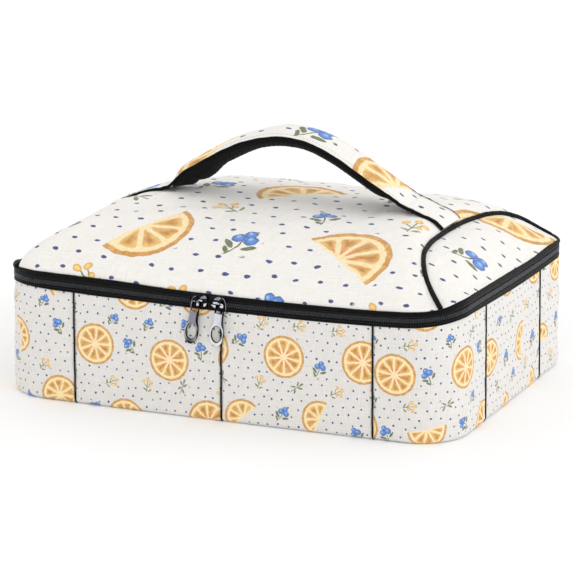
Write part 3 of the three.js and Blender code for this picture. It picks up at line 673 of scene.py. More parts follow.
M["chrome"] = metal("zip_metal_bright", (196, 197, 204), (226, 227, 233), 0.10, 0.24)
M["nickel"] = metal("zip_metal_grey", (128, 127, 138), (160, 159, 170), 0.16, 0.32)
M["dark"] = metal("zip_metal_black", (20, 20, 23), (38, 38, 42), 0.08, 0.22)


def foil_mat():
    g = G("foil")
    sep = g.nt.nodes.new("ShaderNodeSeparateXYZ")
    g.nt.links.new(g.obj().sock, sep.inputs[0])
    x, y, z = (E(g, sep.outputs[k]) * 1000.0 for k in range(3))
    o = g.vec(x, y, z)
    n = g.noise(o, 0.05, 4.0, 0.6)
    c = g.voronoi(g.vec(x + n * 26, y + n * 18, z + n * 22), 0.09)
    f = g.noise(o, 0.7, 4.0, 0.65)
    col = g.mix(g.ss(n, 0.3, 0.7), lin(196, 198, 203), lin(222, 223, 227))
    return g.set(Base_Color=col, Metallic=0.9, Roughness=g.ss(f, 0.25, 0.75, 0.22, 0.42), Normal=g.bump(c * 0.8 + f * 0.25, 1.1 * MM, 0.6))


M["foil"] = foil_mat()


def foam_mat():
    g = G("foam")
    o = g.obj()
    c = g.voronoi(o, 900.0)
    n = g.noise(o, 60.0, 3.0)
    col = g.mix(g.ss(c + n * 0.3, 0.2, 0.9), lin(214, 214, 208), lin(238, 238, 233))
    return g.set(Base_Color=col, Roughness=0.95, Normal=g.bump(c, 0.4 * MM, 0.6))


def board_mat():
    g = G("board")
    o = g.obj()
    n, f = g.noise(o, 40.0, 3.0), g.noise(o, 700.0, 3.0)
    col = g.mix(g.ss(n, 0.3, 0.7), lin(168, 168, 168), lin(186, 186, 184))
    return g.set(Base_Color=col, Roughness=g.ss(n, 0.3, 0.7, 0.42, 0.6), Normal=g.bump(f, 0.06 * MM, 0.4))


M["foam"], M["board"] = foam_mat(), board_mat()


def settle(ob, body, slot, *nodes):
    """The piece rides on a body and stands for CAD nodes. The slot argument is not used."""
    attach(ob, body)
    if nodes:
        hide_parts(*nodes)
    return ob


# ================================================================ body
def ends_dense(L, fine, step):
    """Distances 0..L, close together at both ends."""
    mid = np.arange(fine[-1] + step / 2, L - fine[-1] - step / 2, step)
    a = np.concatenate([fine, mid, [L - f for f in fine[::-1]]])
    return np.unique(np.round(a, 4))


FINE = [0, 0.2, 0.45, 0.8, 1.3, 2.0, 3.0, 4.6, 6.8]
ROLL = 4.2
phi = np.radians(np.linspace(-90, 0, 8))
roll_o = np.concatenate([[-9.0, -6.5], -ROLL + ROLL * np.cos(phi)])
roll_z = np.concatenate([[1.15, 0.8], 0.22 + ROLL + ROLL * np.sin(phi)])
wall_z = np.concatenate([roll_z, np.linspace(7.0, 91.5, 30), [93.0, 94.2, 95.0, 95.7]])
wall_o = np.concatenate([roll_o, np.zeros(30), [0, -0.15, -0.4, -0.6]])
wall_n = np.concatenate([[-math.pi / 2] * 2, phi, np.zeros(34)])      # slope of the skin's normal
soft_a, soft_b = waves(5, 26, 90, 14), waves(8, 9, 26, 12, 1.1, 2.0)


def wall_skin(s, z, o, t, L):
    """Outward offset of the printed wall: t mm from its panel's nearer seam of a panel L wide."""
    f = clip01(z / 96)
    puff = 0.8 * clip01(1 - (2 * t / L - 1) ** 2) ** 0.55 * np.sin(np.pi * clip01(f)) ** 0.4
    roll = -1.05 * np.exp(-t / 0.75)
    lift = sstep(2, 12, z)
    soft = 0.34 * soft_a(s, z * 1.4) * lift * sstep(0, 8, t)
    near_top = sstep(58, 95, z) * 0.16 * soft_b(s, z * 0.35) * sstep(0, 5, t)
    pull_in = -0.35 * np.exp(-t / 5.0) * (1 + 0.5 * np.sin(z * 0.32 + s))
    return body_off(s, f) + o + puff + roll + soft + near_top + pull_in * lift


wz = np.where(wall_z > 60, 1.0, wall_z / 60)
for k in range(PANELS):
    s0 = SEAM_START + k * PITCH
    L = PITCH - 1.1
    tt = ends_dense(L, FINE, 3.1)
    S, Z = np.meshgrid(s0 + 0.55 + tt, wall_z, indexing="ij")
    T = np.minimum(tt, L - tt)[:, None] + 0 * Z
    Z = Z + wave(S) * clip01(Z / 95) ** 1.5
    O = wall_skin(S, Z, wall_o[None] + 0 * Z, T, L)
    P = place(S, O, Z)
    nn = wall_n[None] + 0 * Z
    Q = place(S, O - 1.0 * np.cos(nn), Z - 1.0 * np.sin(nn))
    low = lengths(P, 1)
    U = np.stack([S + 37.3 * k, low + 21.7 * ((k * 5) % 7)], -1)
    ob = slab("wall_panel_%02d" % (k + 1), P, Q, U, mat=M["wall"])
    settle(ob, "carrier_body", "printed_cloth", "wall_panel_%02d" % (k + 1))
    # the cord in the seam at the panel's start
    th = np.arange(12) * 2 * math.pi / 12
    zz = np.concatenate([wall_z[1:10], np.linspace(7, 94.6, 40)])
    oo = np.interp(zz, wall_z[2:], wall_o[2:])
    oo[:1] = roll_o[1]
    pn = np.interp(zz, wall_z[2:], wall_n[2:])
    pn[:1] = -math.pi / 2
    zz = zz + wave(s0) * clip01(zz / 95) ** 1.5
    base = body_off(np.full(len(zz), s0), clip01(zz / 96)) + oo - 0.28
    wob = 0.10 * np.sin(zz * 0.21 + k) + 0.05 * np.sin(zz * 0.63 + 2 * k)
    r = 0.66
    P = place(s0 + wob[:, None] + r * np.cos(th)[None], base[:, None] + r * np.sin(th)[None] * np.cos(pn)[:, None],
              zz[:, None] + r * np.sin(th)[None] * np.sin(pn)[:, None])
    ob = sweep("wall_seam_%02d" % (k + 1), P, mat=M["trim"])
    settle(ob, "carrier_body", "black_trim", "wall_seam_%02d" % (k + 1))

# base: black cloth with a sewn line near its edge
ss_all = np.linspace(0, PERIM, 260, endpoint=False)


def closed_disc(name, rows_top, rows_low, mat, crink=0.0, seed=1):
    def rings(rows):
        out = [place(ss_all, -d, z) for d, z in rows]
        last = out[-1]
        for k in (0.93, 0.86, 0.78, 0.7, 0.61, 0.52, 0.43, 0.34, 0.25, 0.16, 0.08):
            r = last.copy()
            r[:, :2] *= k
            out.append(r)
        return np.stack(out)
    P, Q = rings(rows_top), rings(rows_low)
    grid = np.concatenate([P[::-1], Q], 0)          # from the middle of the top, over the rim, to the middle of the low side
    if crink:
        grid[..., 2] += crink * waves(seed, 14, 70, 16)(grid[..., 0], grid[..., 1])
    n, m = grid.shape[:2]
    q, w = grid_quads(n, m, 0, False, True)
    U = np.concatenate([grid, grid[:, :1]], 1)[..., :2]
    U = np.concatenate([U, U[-1:]], 0).reshape(-1, 2)
    V = np.concatenate([grid.reshape(-1, 3), grid[:1].mean(1), grid[-1:].mean(1)])
    j = np.arange(m)
    k = (j + 1) % m
    t0 = np.stack([np.full(m, n * m), j, k], -1)
    t1 = np.stack([np.full(m, n * m + 1), (n - 1) * m + k, (n - 1) * m + j], -1)
    # the grid's faces run i then j, so the fans follow the same sense
    return build(name, V, [q, t0[:, ::-1], t1[:, ::-1]], [U[w], V[t0[:, ::-1]][..., :2], V[t1[:, ::-1]][..., :2]], mat=mat)


ob = closed_disc("base_fabric", [(4.9, 0.55), (5.3, 0.9), (6.2, 1.15), (10, 1.2), (30, 1.2)], [(4.8, 0.4), (5.1, 0.12), (6.0, 0.02), (8.2, 0.05), (8.9, 0.3), (9.6, 0.05), (12, 0.0), (30, 0.0)], M["base"])
settle(ob, "carrier_body", "base_cloth", "base_fabric")
pth = place(np.linspace(0, PERIM, 900), -8.9, 0.2)
ob = seam_copies("base_stitching", pth, np.tile([0.0, 0.0, -1.0], (900, 1)), 3.4, 2.5, 0.28, 0.0, mat=M["thread"])
settle(ob, "carrier_body", "black_trim")
ob = closed_disc("base_foam", [(8.1, 7.4), (8.6, 8.4), (9.8, 8.75), (14, 8.8), (30, 8.8)], [(8.0, 6.0), (8.2, 4.6), (9.2, 3.9), (14, 3.8), (30, 3.8)], M["foam"])
settle(ob, "carrier_body", "foam", "base_foam")
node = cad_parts["base_board"]
node.data.materials.clear()
node.data.materials.append(M["board"])

# insulation of the wall: a hoop with soft edges
prof = [(-1.6, 12.0), (-1.6, 50.0), (-1.6, 92.0), (-1.9, 94.6), (-3.0, 95.7), (-4.5, 95.9), (-6.2, 95.7), (-7.2, 94.6), (-7.45, 92.0), (-7.45, 50.0), (-7.45, 12.0), (-7.0, 9.6), (-4.5, 9.0), (-2.0, 9.6)]
P = np.stack([place(ss_all, o, z + wave(ss_all) * max(0.0, z / 96) ** 1.5) for o, z in prof], 1)
ob = sweep("wall_foam", P, wi=True, mat=M["foam"])
settle(ob, "carrier_body", "foam", "wall_foam")

# foil lining: one tub with pressed creases
sl = np.linspace(0, PERIM, 420, endpoint=False)
rows = [(7.9, 96.2), (8.0, 96.9), (8.45, 96.9), (8.6, 96.0)] + [(8.62, z) for z in np.linspace(93, 18, 26)] + [(8.9, 15.5), (9.8, 13.2), (11.4, 11.6), (13.6, 10.7), (16.5, 10.3)]
grid = [place(sl, -d, z + wave(sl) * clip01(z / 95) ** 1.5) for d, z in rows]
for k in np.linspace(0.94, 0.04, 24):
    r = grid[len(rows) - 1].copy()
    r[:, :2] *= k
    r[:, 2] = 10.3 - 0.2 * (1 - k)
    grid.append(r)
P = np.stack(grid, 1)
SL = sl[:, None] + 0 * P[..., 2]
cr = np.zeros(P.shape[:2])
for a in range(P.shape[0]):
    for b in range(4, P.shape[1]):
        q = P[a, b]
        cr[a, b] = noise.ridged_multi_fractal(Vector((q[0] * 0.022, q[1] * 0.022, q[2] * 0.03 + 4.0)), 0.9, 2.1, 4, 1.0, 1.6)
cr = (cr - cr[:, 4:].mean()) * 0.42
x, y, nx, ny = edge(SL)
wallish = np.zeros(P.shape[1])
wallish[4:len(rows)] = 1.0
fl = np.concatenate([np.zeros(4), np.clip((20 - np.array([z for d, z in rows[4:]])) / 9.5, 0, 1), np.ones(24)])[None]
amp = np.clip(cr, -0.55, 0.55)
seal = -0.5 * np.exp(-((P[..., 2] - 88) / 1.2) ** 2) * (1 - fl)
P[..., 0] += -nx * (amp + seal) * (1 - fl) * wallish[None]
P[..., 1] += -ny * (amp + seal) * (1 - fl) * wallish[None]
P[..., 2] += np.clip(amp, -0.35, 0.6) * fl
Q = P.copy()
Q[..., 0] += nx * 0.75 * (1 - fl)
Q[..., 1] += ny * 0.75 * (1 - fl)
Q[..., 2] -= 0.7 * fl
U = np.stack([SL, lengths(P, 1)], -1)
U = np.concatenate([U, U[:1] + np.array([PERIM, 0])], 0)


def tub(name, P, Q, U, **kw):
    """A slab round the outline whose last column closes on the middle."""
    n, m = P.shape[:2]
    V = np.concatenate([P.reshape(-1, 3), Q.reshape(-1, 3), P[:, -1].mean(0)[None], Q[:, -1].mean(0)[None]])
    N = n * m
    Uf = np.concatenate([U, U[:, -1:]], 1).reshape(-1, 2)
    q, w = grid_quads(n, m, 0, True)
    i = np.arange(n)
    k = (i + 1) % n
    a, b = i * m, k * m
    e0, e1 = i * m + m - 1, k * m + m - 1
    polys = [q, q[:, ::-1] + N, np.stack([b, a, a + N, b + N], -1), np.stack([e0, e1, np.full(n, 2 * N)], -1), np.stack([e1 + N, e0 + N, np.full(n, 2 * N + 1)], -1)]
    ua = Uf[i * (m + 1)]
    uc = Uf[i * (m + 1) + m - 1]
    uvs = [Uf[w], Uf[w][:, ::-1], np.stack([ua] * 4, 1), np.stack([uc] * 3, 1), np.stack([uc] * 3, 1)]
    return build(name, V, polys, uvs, **kw)


ob = tub("liner", P, Q, U, mat=M["foil"])
settle(ob, "carrier_body", "foil", "liner")

# black cloth folded over the raw edges of wall, foam and foil
prof = [(-0.95, 94.2), (-1.0, 95.8), (-1.6, 96.9), (-3.0, 97.5), (-5.0, 97.65), (-7.2, 97.5), (-8.7, 96.9), (-9.35, 95.6), (-9.4, 93.4), (-9.35, 90.2), (-9.0, 90.1), (-8.75, 93.4), (-8.6, 95.4), (-8.0, 96.3), (-5.0, 96.7), (-2.2, 96.4), (-1.5, 95.4), (-1.4, 94.2)]
P = np.stack([place(sl, o + top_off(sl), z + wave(sl) + 0.12 * np.sin(sl * 0.11 + o)) for o, z in prof], 1)
ob = sweep("wall_edge_binding", P, wi=True, mat=M["trim"])
settle(ob, "carrier_body", "black_trim")

# ================================================================ zip band
zs = np.linspace(-ZIP_END, ZIP_END, 620)


def band(name, prof, s, wi=False, mat=None, fade=0.0):
    """A band of one section swept along the rim. prof: (offset, height)."""
    P = np.stack([place(s, o + top_off(s), z + lift(s, z)) for o, z in prof], 1)
    if fade:
        c = P.mean(1, keepdims=True)
        for i, k in ((0, 0.35), (1, 0.8), (-1, 0.35), (-2, 0.8)):
            P[i] = c[i] + (P[i] - c[i]) * k
    return sweep(name, P, wi=wi, mat=mat)


low_prof = [(-0.9, 95.6), (-0.25, 94.9), (0.35, 94.75), (0.72, 95.1), (0.82, 95.6), (0.66, 96.0), (0.42, 96.15), (0.62, 96.35), (0.74, 96.7), (0.62, 97.05), (0.4, 97.2),
            (0.5, 97.45), (0.42, 97.9), (0.05, 98.1), (-0.5, 98.15), (-0.6, 99.9), (-0.95, 99.95), (-1.0, 97.0)]
ob = band("zip_tape_lower", low_prof, zs, mat=M["tape"], fade=1)
settle(ob, "carrier_body", "zip_tape", "zip_tape_lower")
up_prof = [(-0.95, 101.4), (-0.6, 101.45), (-0.5, 103.3), (0.05, 103.35), (0.42, 103.5), (0.55, 103.9), (0.45, 104.3), (0.62, 104.55), (0.8, 105.0), (0.84, 105.5), (0.7, 106.0),
           (0.52, 106.2), (0.66, 106.45), (0.7, 106.9), (0.4, 107.3), (-0.3, 107.4), (-1.0, 107.0)]
ob = band("zip_tape_upper", up_prof, zs, mat=M["tape"], fade=1)
settle(ob, "lid", "zip_tape", "zip_tape_upper")
th = np.linspace(0, 2 * math.pi, 14, endpoint=False)
rim_prof = [(0.1 + 1.35 * math.cos(t), 108.15 + 1.3 * math.sin(t)) for t in th]
fat = 0.75 * np.exp(-((sl - 468) / 34.0) ** 2)
turn_ = np.exp(-((sl - 1104) / 14.0) ** 2)
rim_prof = [(o, z, o - 0.1, z - 108.15) for o, z in rim_prof]
P = np.stack([place(sl, o + do * (fat * 0.3 + 0.9 * turn_) - 0.5 * fat - 1.1 * turn_ + top_off(sl), z + dz_ * (fat * 0.7 + 1.1 * turn_) + 0.8 * fat + 1.3 * turn_ + lift(sl, 109.0) + 0.10 * np.sin(sl * 0.083) + 0.06 * np.sin(sl * 0.31)) for o, z, do, dz_ in rim_prof], 1)
ob = sweep("lid_rim_binding", P, wi=True, mat=M["trim"])
settle(ob, "lid", "black_trim", "lid_rim_binding")


def row_of(name, body, slot, z, o, pitch, length, r, mat, s0, s1):
    s = np.arange(s0, s1, 2.0)
    x, y, nx, ny = edge(s)
    ob = seam_copies(name, place(s, o + top_off(s), z + lift(s, z)), np.stack([nx, ny, 0 * nx], -1), pitch, length, r, mat=mat)
    return settle(ob, body, slot)


row_of("zip_stitching_upper", "lid", "zip_tape", 104.02, 0.44, 2.05, 1.45, 0.2, M["thread"], -ZIP_END + 2, ZIP_END - 2)
row_of("zip_stitching_lower", "carrier_body", "zip_tape", 97.32, 0.44, 2.05, 1.45, 0.2, M["thread"], -ZIP_END + 2, ZIP_END - 2)

# interlocked coil teeth
TP = 2.08
at = np.arange(-ZIP_END + 5, ZIP_END - 5, TP)
for name, body, zc, ph, node in (("zip_coil_lower", "carrier_body", 99.75, 0.0, "zip_coil_lower"), ("zip_coil_upper", "lid", 101.7, TP / 2, "zip_coil_upper")):
    s = at + ph
    x, y, nx, ny = edge(s)
    N = np.stack([nx, ny, 0 * nx], -1)
    T = np.tile([0.0, 0.0, 1.0], (len(s), 1))
    O = place(s, 0.28 + top_off(s), zc + wave(s))
    ob = copies(name, capsule(2.2, 0.56, 0.36, 8), O, T, N, np.cross(T, N), mat=M["coil"])
    settle(ob, body, "zip_coil", node)

# end stops
for name, sign in (("zip_stop_left", -1), ("zip_stop_right", 1)):
    s = sign * (ZIP_END - 2.0) + np.linspace(-1.7, 1.7, 9)
    sq = np.sqrt(clip01(1 - (np.linspace(-1, 1, 9) * 0.97) ** 4))
    th = np.arange(16) * 2 * math.pi / 16
    P = np.stack([place(s, 0.15 + top_off(s) + sq * 1.15 * np.sign(math.cos(t)) * abs(math.cos(t)) ** 0.6, 99.2 + wave(s) + sq * 1.25 * np.sign(math.sin(t)) * abs(math.sin(t)) ** 0.6) for t in th], 1)
    ob = sweep(name, P, mat=M["dark"])
    settle(ob, "carrier_body", "zip_metal", name)

# hinge strip at the back: one cloth strip across the hinge line
s = np.linspace(658 - 149.5, 658 + 149.5, 170) + (PERIM / 2 - 658)
prof_o = [(0.45, 94.8), (0.62, 96.0), (0.78, 97.3), (0.98, 98.4), (1.3, 99.4), (1.55, 100.1), (1.62, 100.7), (1.55, 101.3), (1.3, 102.0), (0.98, 103.0), (0.78, 104.2), (0.68, 105.6), (0.6, 106.9), (0.45, 107.6)]
prof_i = [(o - 0.75, z) for o, z in prof_o]
ripple = 0.12 * np.sin(s * 0.23)
P = np.stack([place(s, o + top_off(s) + ripple, z + lift(s, z)) for o, z in prof_o], 1)
Q = np.stack([place(s, o + top_off(s) + ripple, z + lift(s, z)) for o, z in prof_i], 1)
hinge = slab("hinge_strip", P, Q, np.stack([s[:, None] + 0 * P[..., 2], P[..., 2]], -1), mat=M["trim"])
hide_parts("hinge_strip_lower", "hinge_strip_upper")
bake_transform(hinge)
for nm, body, z in (("hinge_stitching_lower", "carrier_body", 96.2), ("hinge_stitching_upper", "lid", 105.9)):
    row_of(nm, body, "black_trim", z, 0.72, 2.6, 1.9, 0.24, M["thread"], PERIM / 2 - 147, PERIM / 2 + 147)


# ================================================================ lid
def arc_x(y):
    y = np.asarray(y, float)
    front = 41.5 * np.abs(np.minimum(y, 0) / Y_FRONT) ** 3.6
    back = 37.0 * (np.maximum(y, 0) / Y_BACK) ** 2.2
    return ARC_X + front + back


def reach(x, y):
    ax, ay = np.abs(x) + 1e-6, np.abs(y) + 1e-6
    t = np.minimum(LX / ax, LY / ay)
    c = (ax * t > SX) & (ay * t > SY)
    A, B, C = ax * ax + ay * ay, -2 * (ax * SX + ay * SY), SX * SX + SY * SY - CR * CR
    tc = (-B + np.sqrt(np.maximum(B * B - 4 * A * C, 0))) / (2 * A)
    t = np.where(c, tc, t)
    return 1 / t, ax * t, ay * t


def around(hx, hy, sx, sy):
    """Distance round the outline of the rim point (hx, hy), with the signs of x and y."""
    a = np.arctan2(hy - SY, hx - SX)
    s = np.where(hy >= LY - 1e-4, hx, np.where(hx >= LX - 1e-4, SX + QU + SY - hy, SX + (math.pi / 2 - a) * CR))
    s = np.where((hx > SX) & (hy > SY), SX + (math.pi / 2 - a) * CR, s)     # front right quarter, measured as if y < 0
    s = np.where(sy < 0, s, PERIM / 2 - s)
    return np.where(sx >= 0, s, PERIM - s)


def dome(x, y):
    u, v = np.minimum(np.abs(x) / LX, 1), np.minimum(np.abs(y) / LY, 1)
    return (1 - u ** 9) ** 1.593 * (1 - v ** 2) ** 0.56


# the left end lies lower than the right one, most of all at the back, and the middle cloth rolls over its seam at the front
_DROP = ([-147, -60, -40, -20, 0, 20, 40, 60, 80, 100, 120, 132, 140, 147], [0, 0, 0.5, 1.6, 3.2, 5.0, 6.8, 8.6, 9.8, 9.4, 6.0, 2.5, 0, 0])
_ROLL = ([-147, -138, -132, -126, -120, -114, -102, -90, -84, -72, -60, -48, -36, -24, 0, 12, 22],
         [10, 10, 9.2, 7.3, 6.3, 5.5, 4.5, 3.8, 3.1, 2.0, 1.2, 1.2, 1.9, 1.8, 1.3, 1.2, 0])


_SEAM = ([-137, -75, -60, -40, -20, 0, 15, 35, 55, 70, 85, 100, 110, 122, 134, 141], [0, 0.2, 1.0, 2.2, 3.0, 3.2, 3.1, 2.6, 2.0, 0.6, -1.0, -2.6, -3.2, -2.6, -1.2, 0.5])


def lid_z(x, y, puffed=True, lining=False):
    e0, e1 = (-18.0, 1.0) if lining else (0.0, 7.0)      # the lining bends softly where the cloth has its seam
    s, hx, hy = reach(x, y)
    z = RIM_Z + DOME_H * (dome(x, y) - s ** 8 * dome(hx, hy))
    z = z + lift(around(hx, hy, x, y), 110.0) * np.minimum(s, 1) ** 3.0
    s = np.minimum(s, 1)
    inside = arc_x(y) - np.abs(x)
    left = np.asarray(x) < 0
    z = z - np.where(left, np.interp(y, *_DROP) * sstep(75, 145, np.abs(x)) * (1 - s ** 10), 0)
    z = z - np.where(left, (3.6 * (1 - s ** 12) + 1.6 * (1 - s ** 30)) * sstep(e0, e1, -inside) * sstep(40, -10, y), 0)
    # towards the front corner the left end panel lies nearly level with the rim
    level = RIM_Z + lift(around(hx, hy, x, y), 110.0)
    z = np.where(left, z - np.maximum(z - level, 0) * 0.82 * sstep(e0, e1, -inside) * sstep(-50, -95, y), z)
    # the right seam, and the back right corner of the lid, which hangs
    away = np.where(inside > 0, np.exp(-(inside / 12.0) ** 2), np.exp(-(inside / 26.0) ** 2))
    z = z - np.where(left, 0, np.interp(y, *_SEAM) * away * (1 - s ** 14))
    z = z - 3.2 * np.exp(-((np.asarray(x) - 177) ** 2 + (y - 123) ** 2) / 800.0) * (1 - s ** 10)
    z = z - 2.0 * np.exp(-((around(hx, hy, x, y) - 466) / 34.0) ** 2) * s ** 12
    if puffed:
        d = np.maximum(inside, 0)
        puff = np.where(inside > 0, 8.0 * (1 - np.exp(-d / 5.0)) * (1 - s ** 6), 0)
        puff = puff + np.where(left & (inside > 0), np.interp(y, *_ROLL) * (1 - np.exp(-d / 1.6)) * (1 - sstep(8, 42, d)) * (1 - s ** 30), 0)
        # the left tail presses the cloth flat
        press = sstep(-42, -22, y) * sstep(62, 26, y) * np.exp(-(d / 19.0) ** 2)
        z = z + puff * np.where(left, 1 - 0.66 * press, 1)
    return z


def roll_out(x, y):
    """How far the middle cloth leans out over its left seam."""
    s, _, _ = reach(x, y)
    d = np.maximum(arc_x(y) - np.abs(x), 0)
    return np.where(np.asarray(x) < 0, 2.6 * (1 - np.exp(-d / 0.8)) * np.exp(-((d - 2.5) / 4.0) ** 2) * (1 - np.minimum(s, 1) ** 30) * sstep(40, 0, y), 0)


CUT = 1.0
S_FRONT, S_BACK = 188.6, 182.7      # how far round the rim the end seams begin, from the middle of the front or of the back


def coons(n, m, cut):
    """Plan grid of the centre panel: n along X, m from front to back."""
    def mixed(k):
        t = np.linspace(0, 1, k)
        return 0.55 * t + 0.45 * (0.5 - 0.5 * np.cos(math.pi * t))
    u, v = mixed(n), mixed(m)
    F = place((2 * u - 1) * (S_FRONT - cut), 0, 0)[:, :2]
    B = place((2 * u - 1) * (S_BACK - cut), 0, 0)[:, :2] * np.array([1, -1])
    y0, y1 = F[-1, 1], B[-1, 1]
    yy = y0 + (y1 - y0) * v
    Rr = np.stack([arc_x(yy) - cut, yy], -1)
    Rr[0], Rr[-1] = F[-1], B[-1]
    Lf = Rr * np.array([-1, 1])
    uu, vv = u[:, None, None], v[None, :, None]
    G1 = (1 - vv) * F[:, None] + vv * B[:, None]
    G2 = (1 - uu) * Lf[None] + uu * Rr[None]
    G3 = (1 - uu) * (1 - vv) * F[0] + uu * (1 - vv) * F[-1] + (1 - uu) * vv * B[0] + uu * vv * B[-1]
    return G1 + G2 - G3, u, v


lid_soft = waves(21, 34, 120, 12)
lid_fine = waves(23, 12, 30, 12)


def crease(x, y, x0, y0, x1, y1, width, depth):
    """A soft groove from one point to another, fading at both ends."""
    dx, dy = x1 - x0, y1 - y0
    L = math.hypot(dx, dy)
    t = ((x - x0) * dx + (y - y0) * dy) / L
    d = ((x - x0) * dy - (y - y0) * dx) / L
    return -depth * np.exp(-(d / width) ** 2) * np.sin(np.pi * clip01(t / L)) ** 0.7


G0, cu_, cv_ = coons(190, 150, CUT)
X, Y = G0[..., 0], G0[..., 1]
Z = lid_z(X, Y)
s_, hx_, hy_ = reach(X, Y)
inner = (1 - clip01(s_) ** 10) * sstep(0, 14, arc_x(Y) - np.abs(X))
Z = Z + (0.55 * lid_soft(X, Y) + 0.16 * lid_fine(X, Y)) * inner
SP = around(hx_, hy_, X, Y)
# gathers that the rim seam pulls into the cloth, and ripples along the two curved seams
rim_d = (1 - s_) * 147
gath = (np.sin(SP / 8.7 * 6.28 + 1.6 * np.sin(SP * 0.05)) + 0.6 * np.sin(SP / 5.3 * 6.28 + 2.0 * np.sin(SP * 0.031))) * (0.6 + 0.4 * np.sin(SP * 0.023))
Z = Z + 0.30 * gath * np.exp(-rim_d / 9.0) * sstep(0.2, 2.5, rim_d)
seam_d = arc_x(Y) - np.abs(X)
Z = Z + 0.26 * np.sin(Y / 10.5 * 6.28 + np.sin(Y * 0.07)) * np.exp(-seam_d / 8.0) * sstep(0.3, 3, seam_d) * (1 - clip01(s_) ** 8)
for a in ((-40, -30, -120, -70, 9, 1.5), (30, -62, 120, -96, 10, 1.2), (-96, 14, -60, -56, 8, 1.1), (98, 16, 70, -50, 8, 1.2), (-10, 70, 90, 96, 9, 1.0), (-128, 50, -60, 92, 10, 1.1), (100, 60, 128, 110, 8, 0.9)):
    Z = Z + crease(X, Y, *a)
P = np.stack([X - roll_out(X, Y), Y, Z], -1)


def tuck(P, amount, drop):
    """Adds a last row and column all round that turn down inside the seam."""
    c = P.mean((0, 1))
    n, m = P.shape[:2]
    R = np.zeros((n + 2, m + 2, 3))
    R[1:-1, 1:-1] = P
    R[0, 1:-1], R[-1, 1:-1], R[1:-1, 0], R[1:-1, -1] = P[0], P[-1], P[:, 0], P[:, -1]
    R[0, 0], R[0, -1], R[-1, 0], R[-1, -1] = P[0, 0], P[0, -1], P[-1, 0], P[-1, -1]
    mask = np.ones((n + 2, m + 2), bool)
    mask[1:-1, 1:-1] = False
    d = c[:2] - R[..., :2]
    d /= np.maximum(np.linalg.norm(d, axis=-1, keepdims=True), 1e-6)
    R[..., :2] = np.where(mask[..., None], R[..., :2] + d * amount, R[..., :2])
    R[..., 2] = np.where(mask, R[..., 2] - drop, R[..., 2])
    return R


def normals_of(P):
    a, b = np.gradient(P, axis=0), np.gradient(P, axis=1)
    n = unit(np.cross(a, b))
    return np.where(n[..., 2:] < 0, -n, n)


def lid_cloth(name, P, mat, thick=1.0):
    T = tuck(P, 0.5, 1.8)
    N = normals_of(P)
    Nt = np.zeros_like(T)
    Nt[1:-1, 1:-1] = N
    Nt[0, 1:-1], Nt[-1, 1:-1], Nt[1:-1, 0], Nt[1:-1, -1] = N[0], N[-1], N[:, 0], N[:, -1]
    Nt[0, 0], Nt[0, -1], Nt[-1, 0], Nt[-1, -1] = N[0, 0], N[0, -1], N[-1, 0], N[-1, -1]
    Q = T - Nt * thick
    n, m = T.shape[:2]
    lu, lv = lengths(T, 0), lengths(T, 1)
    U = np.stack([lu - lu[n // 2], lv - lv[:, m // 2:m // 2 + 1]], -1)
    # the cloth is flat in itself: u follows X and v follows Y, both as lengths on the surface from the middle
    return slab(name, T, Q, U, mat=mat)


centre = lid_cloth("lid_center_panel", P, M["lid"])
settle(centre, "lid", "printed_cloth", "lid_center_panel")

for nm, sign in (("left", -1), ("right", 1)):
    t = np.linspace(-1, 1, 128)
    yy = 1.75 + 137.2 * (0.6 * t + 0.4 * np.sin(t * math.pi / 2))
    q = np.linspace(0, 1, 44)
    q = 0.6 * q + 0.4 * (0.5 - 0.5 * np.cos(math.pi * q))
    rimx = np.where(np.abs(yy) <= SY, LX, SX + np.sqrt(np.maximum(CR ** 2 - np.maximum(np.abs(yy) - SY, 0) ** 2, 0)))
    x0 = np.minimum(arc_x(yy) + CUT, rimx - 0.2)
    X = x0[None] + q[:, None] * (rimx - x0)[None]
    Y = yy[None] + 0 * X
    Z = lid_z(X, Y)
    s_, hx_, hy_ = reach(X, Y)
    SP = around(hx_, hy_, sign * X, Y)
    Z = lid_z(sign * X, Y)
    inner = (1 - clip01(s_) ** 12) * sstep(0, 12, X - arc_x(Y))
    Z = Z + (0.5 * lid_soft(sign * X + 90, Y) + 0.14 * lid_fine(X, Y)) * inner
    rim_d = (1 - s_) * 190
    gath = np.sin(SP / 9.6 * 6.28 + 1.4 * np.sin(SP * 0.06)) + 0.5 * np.sin(SP / 6.1 * 6.28)
    Z = Z + 0.2 * gath * np.exp(-rim_d / 8.0) * sstep(0.2, 2.5, rim_d)
    for a in ((156, -70, 190, -96, 9, 0.9), (152, 30, 186, 10, 9, 0.8), (160, 90, 186, 104, 8, 0.8)):
        Z = Z + crease(X, Y, *a)
    P = np.stack([sign * X, Y, Z], -1)
    ob = lid_cloth("lid_end_panel_" + nm, P, M["lid"])
    lay = ob.data.uv_layers["UVMap"]
    uvs = np.zeros(len(lay.data) * 2, np.float32)
    lay.data.foreach_get("uv", uvs)
    uvs = uvs.reshape(-1, 2)
    uvs[:, 0] = uvs[:, 0] * sign + (412.0 if sign > 0 else 230.0)
    uvs[:, 1] += 77.0 if sign > 0 else 190.0
    lay.data.foreach_set("uv", uvs.ravel())
    settle(ob, "lid", "printed_cloth", "lid_end_panel_" + nm)
    yy = np.linspace(-136.7, 140.2, 150)
    z = lid_z(sign * arc_x(yy), yy, False)
    path = np.stack([sign * arc_x(yy), yy, z + 1.0 - (1.0 * sstep(-70, -100, yy) if sign < 0 else 0)], -1)
    path[:, 2] += 0.12 * np.sin(yy * 0.23) + 0.08 * np.sin(yy * 0.61)
    path[:, 0] += 0.12 * np.sin(yy * 0.19 + sign)
    ob = sweep("lid_piping_" + nm, rings_of(path, 2.15, 16), mat=M["trim"])
    settle(ob, "lid", "black_trim", "lid_piping_" + nm)

